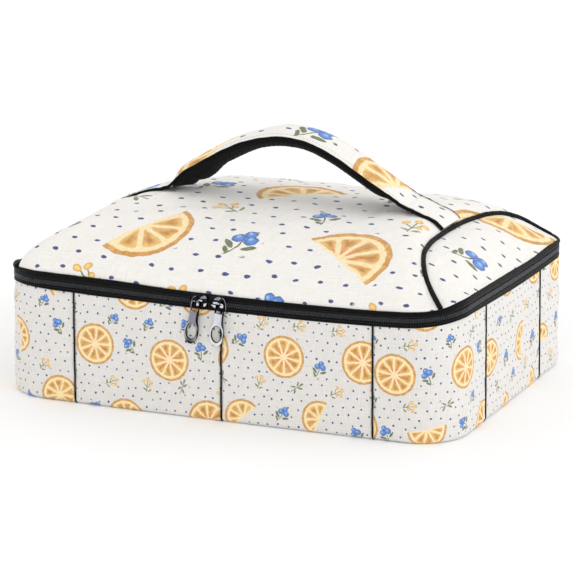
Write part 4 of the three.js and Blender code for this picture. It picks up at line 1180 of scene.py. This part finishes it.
# lid insulation and foil, following the lid
ks = np.concatenate([[0.985, 0.975, 0.955, 0.93], np.linspace(0.89, 0.05, 26)])
ex, ey, _, _ = edge(sl)


def lid_rings(k, dz):
    x, y = ex * k, ey * k
    return np.stack([x, y, lid_z(x, y, False, True) + dz], -1)


top = np.stack([lid_rings(k, -1.9) for k in ks[::-1]])
low = np.stack([lid_rings(k, -7.3) for k in ks])
grid = np.concatenate([top, low])
n, m = grid.shape[:2]
q, w = grid_quads(n, m, 0, False, True)
V = np.concatenate([grid.reshape(-1, 3), grid[:1].mean(1), grid[-1:].mean(1)])
j = np.arange(m)
k = (j + 1) % m
ob = build("lid_foam", V, [q, np.stack([np.full(m, n * m), k, j], -1), np.stack([np.full(m, n * m + 1), (n - 1) * m + j, (n - 1) * m + k], -1)], mat=M["foam"])
settle(ob, "lid", "foam", "lid_foam")

kk = np.concatenate([[0.9965, 0.994, 0.99, 0.982, 0.97, 0.955], np.linspace(0.93, 0.04, 34)])
rows = []
for k in kk:
    s_ = float(k)
    dz = -8.1 + 5.2 * float(sstep(0.95, 0.9965, s_)) if s_ > 0.95 else -8.1
    rows.append(lid_rings(k, dz))
P = np.stack(rows, 1)
cr = np.zeros(P.shape[:2])
for a in range(P.shape[0]):
    for b in range(3, P.shape[1]):
        q = P[a, b]
        cr[a, b] = noise.ridged_multi_fractal(Vector((q[0] * 0.02 + 9, q[1] * 0.02, 2.0)), 0.9, 2.1, 4, 1.0, 1.6)
cr = np.clip((cr - cr[:, 3:].mean()) * 0.45, -0.6, 0.6) * clip01((0.99 - kk) / 0.05)[None]
P[..., 2] += cr
Q = P.copy()
Q[..., 2] += 0.7
U = np.stack([sl[:, None] + 0 * P[..., 2], lengths(P, 1)], -1)
U = np.stack([P[..., 0], P[..., 1]], -1)
U = np.concatenate([U, U[:1]], 0)
ob = tub("lid_liner", P, Q, U, mat=M["foil"])
settle(ob, "lid", "foil", "lid_liner")
prof = [(-0.9, 107.2), (-0.95, 105.9), (-1.4, 105.3), (-2.4, 105.4), (-3.2, 106.2), (-4.4, 107.9), (-4.2, 108.3), (-2.9, 107.1), (-1.9, 106.6), (-1.5, 107.2)]
P = np.stack([place(sl, o + top_off(sl), z + lift(sl, 107.0) + 0.1 * np.sin(sl * 0.13 + o)) for o, z in prof], 1)
ob = sweep("lid_edge_binding", P, wi=True, mat=M["trim"])
settle(ob, "lid", "black_trim")

# ================================================================ handle
HL = np.array([[0, 210.3], [10, 209.5], [20, 207.4], [30, 204.6], [40, 200.3], [50, 195.2], [60, 189.8], [70, 184.2], [80, 178.3], [84, 175.9], [92, 171.2], [100, 166.0], [104, 163.0]])
HR = np.array([[92, 171.2], [97.4, 168.0], [101.8, 164.7], [106.2, 162.2], [110.6, 160.7], [115, 159.4], [119.4, 158.1], [123.8, 156.7], [128.2, 155.3], [132.6, 153.9], [137, 152.2], [141, 149.6],
               [143, 147.6], [145, 145.4], [147, 143.6]])
HB = np.array([[88, 173.4], [91.4, 170.7], [94, 168.2], [96, 165.8], [98, 163.0], [99.7, 160.9], [101.5, 159.3], [105.3, 157.9], [109.9, 156.1], [114.5, 155.0], [119, 153.9], [124, 152.4], [128.4, 150.7],
               [133, 148.8], [137.7, 146.7], [142.4, 144.6], [144.5, 143.4], [147, 141.6]])
fx = np.arange(-147, 147.01, 0.5)
right = np.concatenate([HL[HL[:, 0] < 92], HR])
left = np.concatenate([HL[HL[:, 0] < 88], HB])
hz0 = np.where(fx > 0, np.interp(fx, right[:, 0], right[:, 1]), np.interp(-fx, left[:, 0], left[:, 1]))
hz0 = hz0 + np.interp(fx, [-147, -80, -70, -58, -47, -37, -28, -10, 6, 17, 28, 38, 49, 60, 70, 81, 92, 103, 112, 125, 147],
                      [0, 0, 0.2, 0.9, 0.8, 0.5, 0, 0.1, 0.4, 1.3, 1.5, 1.6, 2.0, 1.7, 1.0, 1.0, 1.0, 1.4, 0.7, 0, 0])
kern = np.exp(-0.5 * (np.arange(-12, 13) * 0.5 / 2.2) ** 2)
hz1 = np.convolve(np.pad(hz0, 12, mode="edge"), kern / kern.sum(), "valid")
kern = np.exp(-0.5 * (np.arange(-5, 6) * 0.5 / 1.1) ** 2)
hz2 = np.convolve(np.pad(hz0, 5, mode="edge"), kern / kern.sum(), "valid")
hzz = np.where(np.abs(fx) < 84, hz1, hz1 + (hz2 - hz1) * sstep(84, 92, np.abs(fx)))


END_X = 144.6
xs_ = np.concatenate([np.arange(0, 3, 0.5), np.arange(3, 84, 0.85), np.arange(84, 118, 0.7), np.arange(118, END_X, 0.9), [END_X]])
PAD = {1: 1 - sstep(82, 108, xs_), -1: 1 - sstep(93, 101.5, xs_)}
BELLY = {1: PAD[1], -1: 1 - sstep(98, 103.5, xs_)}
# each side's line, its normals and its length so far; the tail's last part runs down to the piping
ZX, NRM, ALEN, FOLLOW = {}, {}, {}, {}
for sg in (-1, 1):
    ZX[sg] = np.interp(sg * xs_, fx, hzz)
    slope = np.gradient(ZX[sg], xs_)
    NRM[sg] = np.stack([-slope, np.ones_like(slope)], -1) / np.hypot(1, slope)[:, None]
    ALEN[sg] = np.concatenate([[0], np.cumsum(np.hypot(np.diff(xs_), np.diff(ZX[sg])))])
    FOLLOW[sg] = sstep(103, 113, xs_) if sg < 0 else sstep(116, 132, xs_)


def sag(sign, x, y):
    """How much lower the lid lies at y than under the tail's front edge."""
    return lid_z(sign * x, y) - lid_z(sign * x, -19.0)


hw = waves(40, 10, 34, 12)
hb = waves(41, 40, 90, 8)


def strip(sign, prof_fn, blunt_end=None):
    """A grid along half of the handle: prof_fn(i) gives (y, t) points, t measured out of the strap's top."""
    rows, nrm, zx = [], NRM[sign], ZX[sign]
    for i in range(len(xs_)):
        yt = prof_fn(i)
        lay = sag(sign, xs_[i], yt[:, 0]) * FOLLOW[sign][i]
        rows.append(np.stack([sign * (xs_[i] + nrm[i, 0] * yt[:, 1]), yt[:, 0], zx[i] + nrm[i, 1] * yt[:, 1] + lay], -1))
    G_ = np.stack(rows)
    if blunt_end is not None:      # the belly stops above the lid
        low = np.interp(np.abs(G_[..., 0]), [77, 84, 91, 96, 100.5, 104, 112], [161.0, 162.0, 161.3, 160.0, 158.7, 157.0, 100]) - 4.6 * (1 - (G_[..., 1] / 19.0) ** 2) + blunt_end
        d = G_[..., 2] - low
        G_[..., 2] = low + np.where(d > 1.0, d, np.exp(np.minimum(d, 1.0) - 1.0))
    return G_


yc = np.concatenate([np.array([-1.0, -0.985, -0.955, -0.91]), np.linspace(-0.85, 0.85, 33), np.array([0.91, 0.955, 0.985, 1.0])])


def cover_prof(sign):
    def f(i):
        a, pd = ALEN[sign][i] * sign, PAD[sign][i]
        hw_ = 19.25
        y = yc * hw_
        c = clip01(1 - yc ** 2) ** 0.75
        t = (4.2 * pd + 0.7 * (1 - pd)) * c
        t = t + (0.22 * hw(a, y) + 0.25 * hb(a + 50, y)) * c * (0.35 + 0.65 * pd)
        t = t - 1.5 * sstep(0.955, 1.0, np.abs(yc)) * np.ones_like(y)
        # stitched line near both edges, and the seam across where the grip ends
        t = t - 0.28 * np.exp(-((np.abs(y) - 16.6) / 0.55) ** 2)
        t = t - 0.9 * np.exp(-((xs_[i] - (110.4 if sign > 0 else 101.5)) / 0.8) ** 2) * (0.4 + 0.6 * c)
        y = y - 0.25 * np.sign(y) * sstep(0.985, 1.0, np.abs(yc)) * 2
        return np.stack([y, t], -1)
    return f


def cover_low(sign):
    g0 = cover_prof(sign)

    def f(i):
        p = g0(i)
        return np.stack([p[:, 0] * 0.955, p[:, 1] - 1.0], -1)
    return f


# how much deeper the belly hangs than its usual depth
DEEPER = ([-100, -89, -85, -81, -75, -68, -62, -56, -46, -36, -26, -16, -6, 6, 20, 40, 60, 72, 84, 92, 103], [0, 0.3, 2.0, 3.0, 2.4, 0.0, -1.0, -0.7, -1.0, -1.4, -2.0, -1.7, -1.2, -1.0, -1.0, -0.6, -0.7, -1.2, -1.0, 0.2, 0.6])
m_ang = np.linspace(0, 1, 86)


def mesh_prof(sign, inset=0.0):
    def f(i):
        pd = BELLY[sign][i]
        e = 6.0 * pd + 2.7 * (1 - pd)
        dlow = max(7.0 * pd + 0.15 + float(np.interp(sign * xs_[i], *DEEPER)), 0.15)
        # from one upper edge down the side, along the belly and up the other side
        w = 18.9 - inset
        ctrl = np.array([[w - 0.5, -1.1 - inset * 0.2], [w, -0.35 * e - 0.6], [w, -0.72 * e - 0.4], [w - 0.9, -e * 0.96 - 0.3], [w - 3.0, -e - 0.17 * dlow - 0.2]])
        by = np.linspace(w - 5.0, -(w - 5.0), 15)
        bel = np.stack([by, -e - dlow * (1 - (by / 19.0) ** 2)], -1)
        pts = np.concatenate([ctrl, bel, ctrl[::-1] * np.array([-1, 1])])
        pts[:, 1] += inset * clip01(np.abs(pts[:, 1]) / 3)
        d = np.concatenate([[0], np.cumsum(np.hypot(*np.diff(pts, axis=0).T))])
        yy = np.interp(m_ang * d[-1], d, pts[:, 0])
        tt = np.interp(m_ang * d[-1], d, pts[:, 1])
        k = np.array([0.25, 0.5, 0.25])
        for _ in range(2):
            yy[1:-1], tt[1:-1] = np.convolve(yy, k, "valid"), np.convolve(tt, k, "valid")
        if inset == 0:
            a = ALEN[sign][i]
            v = (m_ang - 0.5) * d[-1]
            px, py = a / 2.2, v / 2.2
            cell = np.cos(px * 3.1416) * np.cos(py * 3.1416)
            dy, dt = np.gradient(yy), np.gradient(tt)
            l = np.hypot(dy, dt) + 1e-9
            amp = 0.2 * cell * sstep(0.03, 0.08, np.minimum(m_ang, 1 - m_ang))
            yy, tt = yy + dt / l * amp, tt - dy / l * amp
        return np.stack([yy, tt], -1)
    return f


for nm, sign in (("left", -1), ("right", 1)):
    alen, nrm, zx = ALEN[sign], NRM[sign], ZX[sign]
    P, Q = strip(sign, cover_prof(sign)), strip(sign, cover_low(sign))
    U = np.stack([np.repeat(alen[:, None], len(yc), 1) * sign + 70, lengths(P, 1) + 9], -1)
    cover = slab("handle_cover_" + nm, P, Q, U, mat=M["lid"])
    nodes = ["handle_tail_" + nm, "handle_end_" + nm] + (["handle_cover", "handle_core"] if sign > 0 else [])
    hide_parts(*nodes)
    P, Q = strip(sign, mesh_prof(sign), 0.0 if sign < 0 else None), strip(sign, mesh_prof(sign, 1.0), 0.9 if sign < 0 else None)
    U = np.stack([np.repeat(alen[:, None], len(m_ang), 1), lengths(P, 1)], -1)
    under = slab("handle_mesh_" + nm, P, Q, U, mat=M["mesh"])
    if sign > 0:
        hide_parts("handle_mesh")
    done = [cover, under]
    for bn, ys in (("front", -1), ("back", 1)):
        thin = 1 - PAD[sign]
        wob = 0.12 * np.sin(alen * 0.35) + 0.14 * np.sin(alen * 0.83 + 1) * thin
        off_t = -1.45 + wob * 0.8 + 0.3 * thin
        yb = ys * (18.75 + 0.25 * wob + 0.5 * thin)
        lay = np.array([float(sag(sign, x, ys * 19.0)) for x in xs_]) * FOLLOW[sign]
        path = np.stack([sign * (xs_ + nrm[:, 0] * off_t), yb, zx + nrm[:, 1] * off_t + lay], -1)
        rr = 1.05 + 0.08 * wob + (0.5 if sign > 0 else 0.2) * thin
        R = rings_of(path, rr, 12, round_ends=False)
        b = sweep("handle_binding_%s_%s" % (bn, nm), R, mat=M["trim"])
        if sign > 0:
            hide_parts("handle_binding_" + bn)
        done.append(b)
        # stitches along the edge
        g0 = cover_prof(sign)
        pth, nr = [], []
        for i in range(0, len(xs_), 2):
            pr = g0(i)
            t = np.interp(ys * 16.6, pr[:, 0], pr[:, 1])
            pth.append([sign * (xs_[i] + nrm[i, 0] * t), ys * 16.6, zx[i] + nrm[i, 1] * t + float(sag(sign, xs_[i], ys * 16.6)) * FOLLOW[sign][i]])
            nr.append([sign * nrm[i, 0], 0, nrm[i, 1]])
        st = seam_copies("handle_stitching_%s_%s" % (bn, nm), np.array(pth), np.array(nr), 3.0, 2.2, 0.2, 0.0, mat=M["cream"])
        done.append(st)
    for o in done:
        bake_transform(o)


# ================================================================ sliders and pulls
def loop_curve(pts, k=6):
    """A closed smooth curve through points."""
    p = np.asarray(pts, float)
    out = []
    for i in range(len(p)):
        a, b, c, d = p[i - 1], p[i], p[(i + 1) % len(p)], p[(i + 2) % len(p)]
        for t in np.arange(k) / k:
            out.append(0.5 * (2 * b + (c - a) * t + (2 * a - 5 * b + 4 * c - d) * t * t + (3 * b - a - 3 * c + d) * t ** 3))
    return np.array(out)


def plate(outlines, thick, bevel, steps=3):
    """Vertices (mm) and faces of a flat plate with rounded edges, in its own X, Y plane and centred on it."""
    cu = bpy.data.curves.new("tmp_outline", "CURVE")
    cu.dimensions, cu.fill_mode = "2D", "BOTH"
    for pts in outlines:
        sp = cu.splines.new("POLY")
        sp.points.add(len(pts) - 1)
        for q, (x, y) in zip(sp.points, pts):
            q.co = (x, y, 0, 1)
        sp.use_cyclic_u = True
    cu.extrude, cu.bevel_depth, cu.bevel_resolution, cu.offset = thick / 2 - bevel, bevel, steps, -bevel
    ob = bpy.data.objects.new("tmp_outline", cu)
    scene.collection.objects.link(ob)
    dg = bpy.context.evaluated_depsgraph_get()
    me = bpy.data.meshes.new_from_object(ob.evaluated_get(dg))
    bm = bmesh.new()
    bm.from_mesh(me)
    bmesh.ops.remove_doubles(bm, verts=bm.verts, dist=1e-4)
    bmesh.ops.recalc_face_normals(bm, faces=bm.faces)
    bpy.data.objects.remove(ob)
    bpy.data.curves.remove(cu)
    bpy.data.meshes.remove(me)
    return bm


def add_bm(bm, part, matrix, index):
    """Adds part to bm after a move; index gives a material for each face from its normal in the part's own frame."""
    part.normal_update()
    idx = [index(f) for f in part.faces]
    bmesh.ops.transform(part, matrix=matrix, verts=part.verts)
    me = bpy.data.meshes.new("tmp")
    part.to_mesh(me)
    me.polygons.foreach_set("material_index", idx)
    bm.from_mesh(me)
    bpy.data.meshes.remove(me)
    part.free()


def finish_bm(name, bm, mats):
    bmesh.ops.scale(bm, vec=(MM, MM, MM), verts=bm.verts)
    me = bpy.data.meshes.new(name)
    bm.to_mesh(me)
    bm.free()
    for m_ in mats:
        me.materials.append(m_)
    for p in me.polygons:
        p.use_smooth = True
    me.set_sharp_from_angle(angle=math.radians(38))
    ob = bpy.data.objects.new(name, me)
    scene.collection.objects.link(ob)
    return ob


def bm_sweep(P):
    """A bmesh of rings P."""
    bm = bmesh.new()
    n, m = P.shape[:2]
    vs = [[bm.verts.new(p) for p in r] for r in P]
    for i in range(n - 1):
        for j in range(m):
            bm.faces.new([vs[i][j], vs[i][(j + 1) % m], vs[i + 1][(j + 1) % m], vs[i + 1][j]])
    bm.faces.new(vs[0][::-1])
    bm.faces.new(vs[-1])
    bmesh.ops.recalc_face_normals(bm, faces=bm.faces)
    return bm


# the plate's own X is the frame's X, its own Y is up, its own Z faces the front
STAND = Matrix(((1, 0, 0, 0), (0, 0, -1, 0), (0, 1, 0, 0), (0, 0, 0, 1)))
FRONT = -147.0
PLATE_Y = (FRONT - 2.6, FRONT - 1.4)
AX_Y, AX_Z = PLATE_Y[0] - 1.15, HINGE_Z


def blunt(pts, k=0.14):
    """A polygon with its corners cut."""
    out = []
    for a, b in zip(pts, pts[1:] + pts[:1]):
        a, b = np.array(a, float), np.array(b, float)
        out += [a + (b - a) * k, a + (b - a) * (1 - k)]
    return np.array(out)


def pull_painted_reflection(name, bx, lean, tab, ring_light, low0, low1, right0, right1, eye_side):
    """Plated metal with painted reflection: darker towards the ring's low end and along one side, and dark round the
    eye and the hole. The pull's own axes are turned by its lean.
    """
    g = G(name)
    o = g.obj()
    sep = g.nt.nodes.new("ShaderNodeSeparateXYZ")
    g.nt.links.new(o.sock, sep.inputs[0])
    x, z = E(g, sep.outputs[0]) * 1000.0 - bx, E(g, sep.outputs[2]) * 1000.0 - AX_Z
    c, s = math.cos(math.radians(lean)), math.sin(math.radians(lean))
    w, d = x * c - z * s, x * s + z * c
    n = g.noise(o, 260.0, 3.0)
    f = g.noise(o, 1400.0, 2.0, 0.7)
    col = g.mix(g.ss(d, -18.0, -23.0), lin(*tab), lin(*ring_light))
    # painted reflection: darker towards the ring's low end and along one side
    dark = g.ss(d + n * 2.0, low0, low1).max(g.ss(w - g.ss(d, -16.0, -23.0) * 2.6 + (n - 0.5) * 0.6, right0, right1))
    # painted reflection and shade: the frame round the eye is dark on one side, and the loop's inner edge is dark
    dark = dark.max(g.ss(w * eye_side, 2.6, 3.0) * g.ss(d, -0.6, -1.2) * g.ss(d, -9.6, -8.4))
    hole = (w * (1 / 5.2)) * (w * (1 / 5.2)) + ((d + 26.0) * (1 / 7.6)) * ((d + 26.0) * (1 / 7.6))
    dark = dark.max(g.ss(hole, 1.0, 0.86))
    col = g.mix(dark, col, lin(20, 20, 23))
    col = g.scale_color(col, g.ss(n, 0.3, 0.7, 0.9, 1.05))
    return g.set(Base_Color=col, Metallic=1.0, Roughness=g.ss(n * 0.6 + f * 0.4, 0.3, 0.7, 0.12, 0.26), Normal=g.bump(f, 0.008 * MM, 0.3))


# shields, their bright patches, the grey crest and the rim wire, as points in X and Z; the patches, the crest and the
# wire are painted highlights on the black metal
SLIDERS = {
    "left": dict(cx=-17.2, nose=1, bx=-18.9, lean=9.3,
                 painted_highlights=[[(-18.4, 101.7), (-13.9, 101.9), (-14.1, 100.3), (-18.2, 100.1)], [(-19.3, 98.9), (-15.7, 99.2), (-16.1, 96.7), (-19.2, 96.4)],
                         [(-13.0, 98.9), (-9.9, 99.5), (-11.2, 96.8), (-12.9, 96.3)]],
                 crest=[(-16.4, 102.6), (-14.9, 104.6), (-12.4, 105.8), (-10.4, 104.9), (-9.8, 103.2)],
                 wire=[(-19.6, 104.6), (-21.4, 103.7), (-22.9, 101.6), (-23.7, 98.6), (-24.0, 95.6)]),
    "right": dict(cx=-0.9, nose=-1, bx=2.5, lean=7.2,
                  painted_highlights=[[(-4.6, 101.3), (-0.2, 101.5), (-0.4, 99.9), (-4.4, 99.7)], [(-6.6, 99.0), (-1.6, 98.9), (-1.5, 95.7), (-4.4, 97.0)],
                          [(1.5, 99.0), (5.2, 99.4), (4.9, 97.0), (1.5, 96.8)]],
                  crest=[(-4.2, 102.8), (-2.0, 105.2), (0.2, 106.0), (2.0, 105.4), (3.4, 103.3)],
                  wire=[(3.6, 104.9), (5.2, 104.1), (6.2, 102.0), (6.6, 98.8), (6.5, 95.4)]),
}
for nm, S in SLIDERS.items():
    cx, nose, bx, lean = S["cx"], S["nose"], S["bx"], S["lean"]
    bm = bmesh.new()
    t = -nose
    shield = [(cx + nose * 7.6, AX_Z - 2.2), (cx + nose * 7.6, AX_Z + 2.2), (cx + nose * 6.4, AX_Z + 3.9), (cx + nose * 3.6, AX_Z + 5.4), (cx, AX_Z + 5.6),
              (cx + t * 4.6, AX_Z + 4.9), (cx + t * 7.3, AX_Z + 3.8), (cx + t * 7.5, AX_Z), (cx + t * 7.3, AX_Z - 3.8), (cx + t * 4.6, AX_Z - 4.9), (cx, AX_Z - 5.5),
              (cx + nose * 3.6, AX_Z - 5.3), (cx + nose * 6.4, AX_Z - 3.9)]
    part = plate([loop_curve(shield, 5)], 1.25, 0.6, 4)
    add_bm(bm, part, Matrix.Translation((0, (PLATE_Y[0] + PLATE_Y[1]) / 2 - 0.07, 0)) @ STAND, lambda f: 0)
    # bright chrome patches on the black shield: painted highlights
    for pts in S["painted_highlights"]:
        part = plate([blunt(pts)], 0.9, 0.32)
        add_bm(bm, part, Matrix.Translation((0, PLATE_Y[0] - 0.02, 0)) @ STAND, lambda f: 1)
    # the grey crest and the rim wire in grey metal: painted highlights
    part = plate([loop_curve(blunt(S["crest"], 0.2).tolist(), 3)], 1.1, 0.4)
    add_bm(bm, part, Matrix.Translation((0, PLATE_Y[0] + 0.1, 0)) @ STAND, lambda f: 2)
    w = np.array(S["wire"])
    u = np.linspace(0, len(w) - 1, 26)
    k = np.arange(len(w))
    path = np.stack([np.interp(u, k, w[:, 0]), np.full(26, PLATE_Y[0] - 0.05), np.interp(u, k, w[:, 1])], -1)
    for _ in range(3):
        path[1:-1] = (path[:-2] + 2 * path[1:-1] + path[2:]) / 4
    add_bm(bm, bm_sweep(rings_of(path, 0.36, 10, up=(0, 1, 0))), Matrix.Identity(4), lambda f: 2)
    # upper and lower flanges that wrap the teeth, and the plate behind the zip
    for z0, dz in ((AX_Z + 4.7, -1), (AX_Z - 4.7, 1)):
        xx = np.linspace(-1, 1, 13)
        path = np.stack([cx + 6.6 * xx, np.full(13, PLATE_Y[1] - 0.45), z0 - dz * (0.35 - 0.5 * xx * nose - 0.35 * xx * xx)], -1)
        add_bm(bm, bm_sweep(rings_of(path, 0.62, 10)), Matrix.Identity(4), lambda f: 0)
    back = [(cx + nose * 7.2, AX_Z - 1.0), (cx + nose * 7.2, AX_Z + 1.4), (cx + nose * 4, AX_Z + 2.6), (cx + t * 4, AX_Z + 2.6), (cx + t * 7.0, AX_Z + 1.6), (cx + t * 7.0, AX_Z - 1.0), (cx + t * 4, AX_Z - 1.6), (cx + nose * 4, AX_Z - 1.6)]
    part = plate([loop_curve(back, 4)], 1.0, 0.3)
    add_bm(bm, part, Matrix.Translation((0, FRONT + 2.1, 0)) @ STAND, lambda f: 0)
    part = plate([np.array([(cx - 1.9, AX_Z + 0.62), (cx + 1.9, AX_Z + 0.62), (cx + 1.9, AX_Z + 1.1), (cx - 1.9, AX_Z + 1.1)])], 3.4, 0.08, 1)
    add_bm(bm, part, Matrix.Translation((0, FRONT + 0.2, 0)) @ STAND, lambda f: 0)
    # bail: an arch over the plate, from its top to its low end
    a = np.linspace(0, 1, 21)
    path = np.stack([np.full(21, bx), PLATE_Y[0] + 0.15 - 2.5 * np.sin(np.pi * a) ** 0.38, AX_Z + 3.6 - 5.1 * a], -1)
    P = rings_of(path, 0.5, 10, up=(1, 0, 0), round_ends=False)
    c = P.mean(1, keepdims=True)
    P[..., 0] = c[..., 0] + (P[..., 0] - c[..., 0]) * 1.2
    add_bm(bm, bm_sweep(P), Matrix.Identity(4), lambda f: 0)
    ob = finish_bm("slider_" + nm, bm, [M["dark"], M["chrome"], M["nickel"]])
    settle(ob, "slider_" + nm, "zip_metal", "slider_" + nm)

    # pull
    half = [[0.6, 1.1], [0.1, 2.4], [-1.1, 3.5], [-6, 3.9], [-8.2, 4.0], [-11, 3.9], [-15, 3.9], [-18, 4.4], [-20.5, 5.3], [-23.5, 5.95], [-27, 6.15], [-30.3, 5.7], [-33.1, 4.7], [-35.3, 3.1], [-36.5, 1.2]]
    outl = [(w, z) for z, w in half] + [(-w, z) for z, w in half[::-1]]
    eye = [(-2.9, -1.7), (-3.0, -7.0), (-2.1, -8.5), (2.1, -8.5), (3.0, -7.0), (2.9, -1.7), (2.0, -0.9), (-2.0, -0.9)]
    ph = np.linspace(0, 2 * math.pi, 48, endpoint=False)
    hole = np.stack([4.35 * np.cos(ph), -26.0 + 6.7 * np.sin(ph)], -1)
    # the two pulls are alike: the left one's darker tab is painted shade, and each has its dark bands of painted
    # reflection on a different side
    if nm == "left":
        face = pull_painted_reflection("pull_painted_reflection_left", bx, lean, (142, 140, 150), (176, 176, 183), -28.5, -35.0, 2.0, 2.9, 1.0)
    else:
        face = pull_painted_reflection("pull_painted_reflection_right", bx, lean, (216, 217, 223), (226, 227, 232), -34.6, -36.4, 2.5, 3.3, -1.0)
    bm = bmesh.new()
    place_m = Matrix.Translation((bx, AX_Y - 0.2, AX_Z)) @ Matrix.Rotation(math.radians(lean), 4, "Y") @ STAND
    part = plate([loop_curve(outl, 5), loop_curve(eye, 3), hole], 1.9, 0.62, 4)
    # edge faces take the black metal and the broad faces the lighter one: painted reflection on the edges
    add_bm(bm, part, place_m, lambda f: 1 if abs(f.normal.z) > 0.62 else 0)
    part = plate([blunt([(-2.5, -9.6), (1.9, -9.6), (2.0, -17.0), (-2.7, -17.0)], 0.1)], 2.4, 0.22)
    add_bm(bm, part, place_m, lambda f: 1 if abs(f.normal.z) > 0.7 else 0)
    ob = finish_bm("pull_" + nm, bm, [M["dark"], face])
    settle(ob, "pull_" + nm, "zip_metal", "pull_" + nm)

# ================================================================ floor and light
bpy.ops.mesh.primitive_plane_add(size=14, location=(0, 2.0, 0))
floor = bpy.context.object
floor.name = "floor"
g = G("floor")
n = g.noise(g.obj(), 3.0, 2.0)
floor.data.materials.append(g.set(Base_Color=g.mix(n, lin(243, 243, 243), lin(246, 246, 246)), Roughness=0.9, Specular_IOR_Level=0.1, Emission_Color=(1, 1, 1, 1), Emission_Strength=0.05))

world = bpy.data.worlds.new("studio")
world.use_nodes = True
world.node_tree.nodes["Background"].inputs[0].default_value = (1.0, 1.0, 1.0, 1.0)
world.node_tree.nodes["Background"].inputs[1].default_value = 1.0
scene.world = world


def area(name, loc, target, size, power, color=(1, 1, 1)):
    d = bpy.data.lights.new(name, "AREA")
    d.shape, d.size, d.energy, d.color = "DISK", size, power, color
    o = bpy.data.objects.new(name, d)
    scene.collection.objects.link(o)
    o.location = loc
    o.rotation_mode = "QUATERNION"
    o.rotation_quaternion = (Vector(target) - Vector(loc)).to_track_quat("-Z", "Y")
    return o


area("key", (2.0, -1.3, 2.2), (0, 0, 0.08), 3.0, 4)
area("front", (0.2, -3.0, 1.1), (0, 0, 0.14), 2.0, 7)
area("side", (2.9, 0.5, 0.8), (0, 0, 0.08), 1.8, 18)
area("fill", (-2.0, 1.4, 2.2), (0, 0, 0.12), 2.6, 2)
